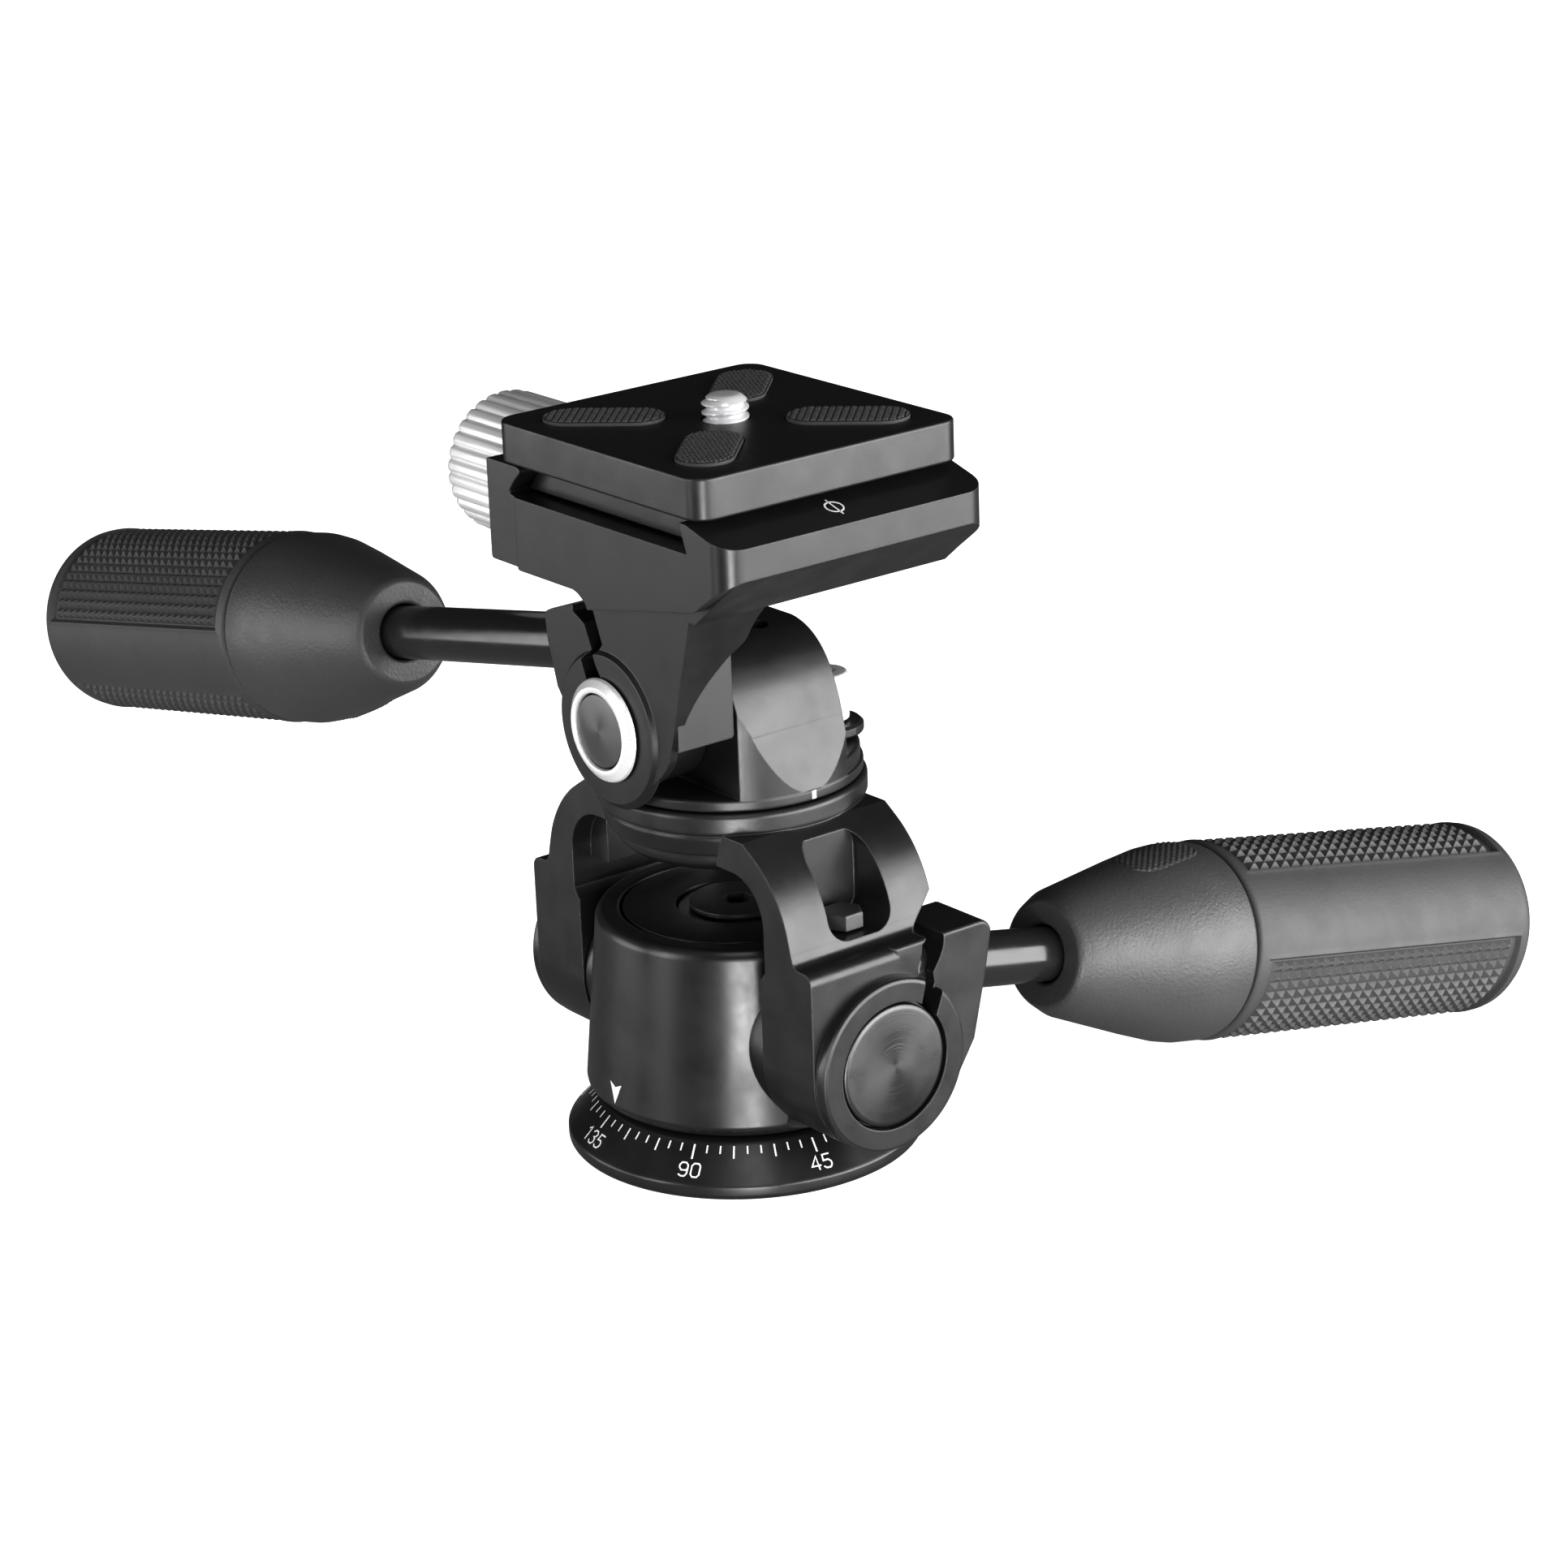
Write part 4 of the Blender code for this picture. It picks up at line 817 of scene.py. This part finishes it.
# ------------------------------------------------------------------ camera plate
px0, px1 = PLATE_CX - PLATE_X / 2, PLATE_CX + PLATE_X / 2
plate = prism(rounded(px0, px1, -PLATE_Y / 2, PLATE_Y / 2, 3.0, 12), 'XY', PLATE_BOT, PLATE_TOP, 0.4, 4, 60.0)
DOVE = [(-15.0, 97.6), (-15.0, 96.7), (-17.6, 93.4), (-17.4, 93.2), (20.8, 93.2), (21.1, 93.4),
        (19.8, 96.7), (19.8, 97.6)]
plate = boolean(plate, prism(DOVE, 'XZ', -18.5, 18.5), 'UNION')
PADS = []
for i in range(4):
    a = radians(45 + 90 * i)
    PADS.append((PLATE_CX + 16.3 * cos(a), 16.3 * sin(a), a))


def stadium(cx, cy, a, length, width, n=16):
    h = length / 2 - width / 2
    pts = arc(h, 0, width / 2, -90, 90, n) + arc(-h, 0, width / 2, 90, 270, n)
    return [(cx + x * cos(a) - y * sin(a), cy + x * sin(a) + y * cos(a)) for x, y in pts]


plate = boolean(plate, [cylinder(3.4, 90.0, 104.0, 48, (PLATE_CX, 0, 0)),
                        cylinder(8.6, 90.0, 98.9, 64, (PLATE_CX, 0, 0))]
                + [prism(stadium(x, y, a, 16.9, 8.2), 'XY', PLATE_TOP - 0.9, PLATE_TOP + 1.0) for x, y, a in PADS])
piece("plate_slab", plate, "plate", ANOD, ["camera_plate"], angle=24, flat=True)


def ribbed_pad(cx, cy, a, length, width):
    """Rubber pad whose top is a grid of small rounded blocks."""
    bm = bmesh.new()
    top, low, base_z = PLATE_TOP + 0.62, PLATE_TOP + 0.36, PLATE_TOP - 0.7
    step = 0.13
    nx, ny = int(length / step), int(width / step)
    h = length / 2 - width / 2
    grid = {}

    def inside(x, y):
        xx = max(0.0, abs(x) - h)
        return xx * xx + y * y <= (width / 2 - 0.02) ** 2

    for i in range(nx + 1):
        for j in range(ny + 1):
            x, y = -length / 2 + i * length / nx, -width / 2 + j * width / ny
            if not inside(x, y):
                continue
            u, v = x / 0.95, y / 0.62
            v2 = v + 0.5 * (floor(u) % 2)
            fu, fv = abs((u % 1.0) - 0.5) * 2, abs((v2 % 1.0) - 0.5) * 2
            z = low + (top - low) * min(1.0, max(0.0, (1.0 - max(fu, fv)) * 2.6))
            xx = max(0.0, abs(x) - h)
            edge = width / 2 - sqrt(xx * xx + y * y)
            if edge < 0.3:
                z = min(z, low + 0.1)
            grid[i, j] = bm.verts.new((cx + x * cos(a) - y * sin(a), cy + x * sin(a) + y * cos(a), z))
    for i in range(nx):
        for j in range(ny):
            k = [(i, j), (i + 1, j), (i + 1, j + 1), (i, j + 1)]
            if all(q in grid for q in k):
                bm.faces.new([grid[q] for q in k])
    side = prism(stadium(cx, cy, a, length, width), 'XY', base_z, low + 0.02, 0.0)
    me = bpy.data.meshes.new("side")
    side.to_mesh(me)
    side.free()
    bm.from_mesh(me)
    bpy.data.meshes.remove(me)
    return bm


for i, (x, y, a) in enumerate(PADS):
    piece("pad_%d" % (i + 1), ribbed_pad(x, y, a, 16.5, 7.8), "plate", PAD, ["plate_pad_%d" % (i + 1)], angle=40)

# ------------------------------------------------------------------ camera screw with a real thread
PITCH, CREST, ROOT = 1.27, 3.17, 2.45
screw = bmesh.new()
SEG = 72
Z0, Z1 = 98.5, 106.25


def thread_r(z, a):
    """Radius of the thread at a height and angle, faded out at its end."""
    ph = ((z - Z0) / PITCH - a / (2 * pi)) % 1.0
    tri = 1.0 - abs(ph - 0.5) * 2.0
    r = ROOT + (CREST - ROOT) * min(1.0, max(0.0, tri * 1.45 - 0.12))
    end = Z1 - z
    if end < 1.1:
        r = min(r, 1.7 + (CREST - 1.7) * (end / 1.1) ** 0.55)
    return r


levels = [Z0 + (Z1 - Z0) * k / 120 for k in range(121)]
rings = []
for z in levels:
    rings.append([screw.verts.new((thread_r(z, 2 * pi * i / SEG) * cos(2 * pi * i / SEG),
                                   thread_r(z, 2 * pi * i / SEG) * sin(2 * pi * i / SEG), z)) for i in range(SEG)])
for a, b in zip(rings, rings[1:]):
    for i in range(SEG):
        j = (i + 1) % SEG
        screw.faces.new((a[i], a[j], b[j], b[i]))
cap_ring(screw, rings[-1], [(1.1, Z1 + 0.03), (0.0, Z1 + 0.04)])
cap_ring(screw, rings[0], [(7.9, 98.5), (8.2, 98.2), (8.2, 95.0), (7.6, 94.6), (0.0, 94.6)])
bmesh.ops.recalc_face_normals(screw, faces=screw.faces[:])
bmesh.ops.translate(screw, vec=(PLATE_CX, 0, 0), verts=screw.verts[:])
screw = boolean(screw, box(PLATE_CX - 9.0, PLATE_CX + 9.0, -0.8, 0.8, 94.0, 96.2))
piece("camera_thread", screw, "camera_screw", CHROME, ["camera_screw"], angle=50)


# ------------------------------------------------------------------ handles
def frame_for(direction, up):
    """Axes (side, over, along) for a handle, with over nearest to up."""
    z = Vector(direction).normalized()
    y = (Vector(up) - z * Vector(up).dot(z)).normalized()
    x = y.cross(z)
    return Matrix((x, y, z)).transposed().to_4x4()


def lay(bm, p0, m):
    bmesh.ops.transform(bm, matrix=Matrix.Translation(p0) @ m, verts=bm.verts[:])
    return bm


def grip_body(g0, g1, panels):
    """Rubber grip drawn along Z. Each panel is (angle, half width in degrees):
    its floor is recessed inside a raised, rounded border."""
    s_lo, s_hi = g0 + 1.7, g1 - 4.4
    angles = set()
    for pa, hw in panels:
        for e, sg in ((pa - hw, 1), (pa + hw, -1)):
            for k in (-3.0, -2.2, -1.5, -0.7, 0.0, 0.6, 1.2, 1.8):
                angles.add(round((e + sg * k) % 360.0, 3))
    edges = sorted(angles)
    for k in range(144):
        deg = k * 2.5
        if all(abs((deg - e + 180.0) % 360.0 - 180.0) > 0.8 for e in edges):
            angles.add(deg)
    angles = sorted(angles)
    rows = [(g0, 0.5), (g0 + 0.12, 0.25), (g0 + 0.4, 0.05), (g0 + 0.8, 0.0)]
    for k in (-0.75, -0.5, -0.25, 0.0, 0.15, 0.3, 0.45):
        rows.append((s_lo + k, 0.0))
    k = s_lo + 2.5
    while k < s_hi - 1.5:
        rows.append((k, 0.0))
        k += 2.5
    for k in (0.45, 0.3, 0.15, 0.0, -0.25, -0.5, -0.75):
        rows.append((s_hi - k, 0.0))
    rows += [(g1 - 3.2, 0.0), (g1 - 2.7, 0.12), (g1 - 2.2, 0.4), (g1 - 1.7, 0.8), (g1 - 1.2, 1.35),
             (g1 - 0.8, 1.95), (g1 - 0.4, 2.9), (g1 - 0.15, 3.9), (g1, 5.2)]
    bm = bmesh.new()
    rings = []
    for s, drop in rows:
        ring = []
        for deg in angles:
            r = GRIP_R - 0.12 - drop
            for pa, hw in panels:
                d = abs((deg - pa + 180.0) % 360.0 - 180.0)
                inset = min((hw - d) * pi / 180.0 * GRIP_R, s - s_lo, s_hi - s)
                if inset > 0.0:
                    t = min(1.0, inset / 0.45)
                    r = GRIP_R - DEPTH * t * t * (3 - 2 * t)
                elif inset > -0.75:
                    t = 1.0 + inset / 0.75
                    r = GRIP_R - 0.12 * (1.0 - t * t * (3 - 2 * t))
            ring.append(bm.verts.new((r * cos(radians(deg)), r * sin(radians(deg)), s)))
        rings.append(ring)
    n = len(angles)
    for a, b in zip(rings, rings[1:]):
        for i in range(n):
            j = (i + 1) % n
            bm.faces.new((a[i], a[j], b[j], b[i]))
    bm.faces.new(rings[-1])
    inner = []
    for r, h in ((5.4, g0), (5.4, g1 - 3.0)):
        inner.append([bm.verts.new((r * cos(radians(d)), r * sin(radians(d)), h)) for d in angles])
    for a, b in ((rings[0], inner[0]), (inner[0], inner[1])):
        for i in range(n):
            j = (i + 1) % n
            bm.faces.new((a[i], a[j], b[j], b[i]))
    bm.faces.new(inner[1])
    bmesh.ops.recalc_face_normals(bm, faces=bm.faces[:])
    return bm, s_lo, s_hi


DEPTH = 0.8


def studs(s_lo, s_hi, panels):
    """Rows of small pyramids with blunt tips on the floors of the panels."""
    bm = bmesh.new()
    base, ps, pw = GRIP_R - DEPTH, 2.1, 1.65
    for pa, hw in panels:
        half = hw * pi / 180.0 * GRIP_R - 0.5
        n = int((s_hi - s_lo - 0.9) / ps)
        m = int(2 * half / pw)
        s_first = (s_lo + s_hi - (n - 1) * ps) / 2
        for j in range(n):
            for i in range(m):
                s, w = s_first + j * ps, (i - (m - 1) / 2) * pw
                loops = []
                for a, b, h in ((1.03, 0.8, -0.08), (1.03, 0.8, 0.02), (0.24, 0.19, DEPTH - 0.1),
                                (0.13, 0.1, DEPTH - 0.06)):
                    ring = []
                    for u, v in ((1, 1), (-1, 1), (-1, -1), (1, -1)):
                        ang = radians(pa) + (w + v * b) / GRIP_R
                        r = base + h
                        ring.append(bm.verts.new((r * cos(ang), r * sin(ang), s + u * a)))
                    loops.append(ring)
                for a, b in zip(loops, loops[1:]):
                    for k in range(4):
                        bm.faces.new((a[k], a[(k + 1) % 4], b[(k + 1) % 4], b[k]))
                bm.faces.new(loops[0])
                bm.faces.new(loops[-1])
    bmesh.ops.recalc_face_normals(bm, faces=bm.faces[:])
    return bm


def cone_piece(start, patch_angle):
    """Cone collar along Z with a raised hatched patch near its wide end."""
    prof = fine([(ROD_HOLE_R, start), (CONE_R0 - 0.6, start), (CONE_R0, start + 0.5),
                 (9.2, start + 2.9), (12.55, start + 15.5), (13.85, start + 20.9),
                 (CONE_R1 - 0.02, start + 23.4), (CONE_R1, start + CONE_LEN - 0.7),
                 (CONE_R1 - 0.4, start + CONE_LEN - 0.2), (5.4, start + CONE_LEN - 0.2),
                 (5.4, start + 9.0), (ROD_HOLE_R, start + 9.0)], 0.7, 6)
    bm = revolve(prof, 160)
    # hatched patch: small pyramids on a curved, raised field
    patch = bmesh.new()

    def rad(s):
        pts = [(start + 2.9, 9.2), (start + 15.5, 12.55), (start + 20.9, 13.85), (start + 23.4, 14.18),
               (start + 28.5, 14.2)]
        for (a, ra), (b, rb) in zip(pts, pts[1:]):
            if a <= s <= b:
                return ra + (rb - ra) * (s - a) / (b - a)
        return 14.2

    s0, s1, half = start + 13.0, start + 25.5, 4.2
    n_s, n_w = 80, 60
    grid = []
    for i in range(n_s + 1):
        s = s0 + (s1 - s0) * i / n_s
        row = []
        for j in range(n_w + 1):
            w = -half + 2 * half * j / n_w
            ex = min(1.0, (s - s0) / (s1 - s0) * 1.0)
            lim = half * sqrt(max(0.0, 1.0 - (2 * (i / n_s) - 1.0) ** 4))
            ww = w * lim / half
            u, v = (ww + s) / 1.1, (ww - s) / 1.1
            fu, fv = abs((u % 1.0) - 0.5) * 2, abs((v % 1.0) - 0.5) * 2
            inner = min(i, n_s - i, j, n_w - j) / 4.0
            z = -0.08 + min(1.0, inner) * (0.12 + 0.28 * max(0.0, 1.0 - max(fu, fv)))
            r = rad(s) + z
            a = patch_angle + degrees(ww / rad(s))
            row.append(patch.verts.new((r * cos(radians(a)), r * sin(radians(a)), s)))
        grid.append(row)
    for i in range(n_s):
        for j in range(n_w):
            try:
                patch.faces.new((grid[i][j], grid[i + 1][j], grid[i + 1][j + 1], grid[i][j + 1]))
            except ValueError:
                pass
    bmesh.ops.recalc_face_normals(patch, faces=patch.faces[:])
    return bm, patch


def handle(side, p0, d, start, tip, panels, patch_angle):
    m = frame_for(d, (0, 0, 1))
    rod = revolve(fine([(0.0, tip[1]), (1.9, tip[1]), (1.9, tip[0]), (ROD_R - 0.3, tip[0]),
                        (ROD_R, tip[0] + 0.3), (ROD_R, 96.0), (2.0, 96.0), (2.0, 98.4), (0.0, 98.4)],
                       0.15, 3, False), 96)
    piece(side + "_tube", lay(rod, p0, m), side + "_handle_rod", ROD, [side + "_rod"])
    cone, patch = cone_piece(start, patch_angle)
    piece(side + "_collar", lay(cone, p0, m), side + "_handle_grip", CONE, [side + "_cone"], angle=35)
    piece(side + "_thumb_patch", lay(patch, p0, m), side + "_handle_grip", CONE, angle=35)
    g0 = start + CONE_LEN + 0.1
    g1 = start + GRIP_END
    body, s_lo, s_hi = grip_body(g0, g1, panels)
    piece(side + "_sleeve", lay(body, p0, m), side + "_handle_grip", RUBBER, [side + "_grip"], angle=50)
    piece(side + "_knurls", lay(studs(s_lo, s_hi, panels), p0, m), side + "_handle_grip", RUBBER,
          angle=20)


handle("right", RIGHT_P0, RIGHT_D, 14.15, (-12.2, -18.6),
       [(56.4, 65.0), (240.4, 65.0)], 90.0)
handle("left", LEFT_P0, LEFT_D, 50.3, (-4.1, -13.4),
       [(74.7, 65.0), (-99.3, 65.0)], -110.0)

# ------------------------------------------------------------------ floor, light and camera
floor_z = -0.0072
bm = bmesh.new()
bmesh.ops.create_grid(bm, x_segments=2, y_segments=2, size=3.0)
me = bpy.data.meshes.new("floor")
bm.to_mesh(me)
bm.free()
floor_ob = bpy.data.objects.new("floor", me)
floor_ob.location = (0, 0, floor_z)
FLOOR, fnt, fb = new_material("pale_floor")
fcoord = add(fnt, "ShaderNodeTexCoord").outputs["Object"]
fmix = add(fnt, "ShaderNodeMix", data_type='RGBA')
fmix.inputs["A"].default_value = (0.90, 0.90, 0.90, 1)
fmix.inputs["B"].default_value = (0.93, 0.93, 0.93, 1)
fnt.links.new(noise(fnt, fcoord, 4.0), fmix.inputs["Factor"])
fnt.links.new(fmix.outputs["Result"], fb.inputs["Base Color"])
fb.inputs["Roughness"].default_value = 0.9
fb.inputs["Specular IOR Level"].default_value = 0.1
fb.inputs["Emission Color"].default_value = (1.0, 1.0, 1.0, 1.0)
fb.inputs["Emission Strength"].default_value = 0.93
me.materials.append(FLOOR)
floor_ob.visible_glossy = False
floor_ob.visible_diffuse = False
floor_ob.visible_shadow = False
SCENE.collection.objects.link(floor_ob)

world = bpy.data.worlds.new("studio")
SCENE.world = world
world.use_nodes = True
bg = world.node_tree.nodes.get("Background")
bg.inputs["Color"].default_value = (1.0, 1.0, 1.0, 1.0)
bg.inputs["Strength"].default_value = 0.05


def area(name, loc, target, size, power, size_y=None):
    l = bpy.data.lights.new(name, 'AREA')
    l.shape = 'RECTANGLE'
    l.size = size
    l.size_y = size_y or size
    l.energy = power
    o = bpy.data.objects.new(name, l)
    o.location = loc
    o.rotation_euler = (Vector(target) - Vector(loc)).to_track_quat('-Z', 'Y').to_euler()
    SCENE.collection.objects.link(o)
    return o


MID = (0.0, 0.0, 0.05)
area("key", (0.85, 0.44, 0.17), MID, 1.5, 28.0, 0.8)
area("strip", (-0.12, -1.0, 0.24), MID, 0.3, 5.0, 0.8)
area("left", (-0.75, -0.80, 0.10), MID, 0.6, 4.5, 0.6)
area("front", (0.80, -0.60, 0.02), MID, 0.25, 3.0, 0.5)
area("top", (0.50, -0.35, 1.0), MID, 0.35, 1.6)
# light that the pale floor throws back up
area("bounce", (0.0, 0.0, -0.05), MID, 1.6, 2.0)
area("bounce_front", (0.62, -0.42, -0.16), MID, 0.26, 2.6, 0.2)

# camera
az, el, roll = radians(53.0815), radians(19.3172), radians(-2.3853)
back = Vector((sin(az) * cos(el), -cos(az) * cos(el), sin(el)))
right = Vector((cos(az), sin(az), 0.0))
up = back.cross(right)
r2 = right * cos(roll) + up * sin(roll)
u2 = -right * sin(roll) + up * cos(roll)
cam_data = bpy.data.cameras.new("photo_camera")
cam_data.sensor_width = 36.0
cam_data.lens = 94.983
cam_data.shift_x = 0.03309
cam_data.shift_y = -0.00726
cam_data.clip_start = 0.01
cam = bpy.data.objects.new("photo_camera", cam_data)
pos = Vector((0, 0, 0.05267)) + back * 0.565195
rot = Matrix((r2, u2, back)).transposed().to_4x4()
cam.matrix_world = Matrix.Translation(pos) @ rot
SCENE.collection.objects.link(cam)
SCENE.camera = cam
SCENE.view_settings.view_transform = 'Standard'
SCENE.view_settings.look = 'None'
SCENE.view_settings.gamma = 0.74
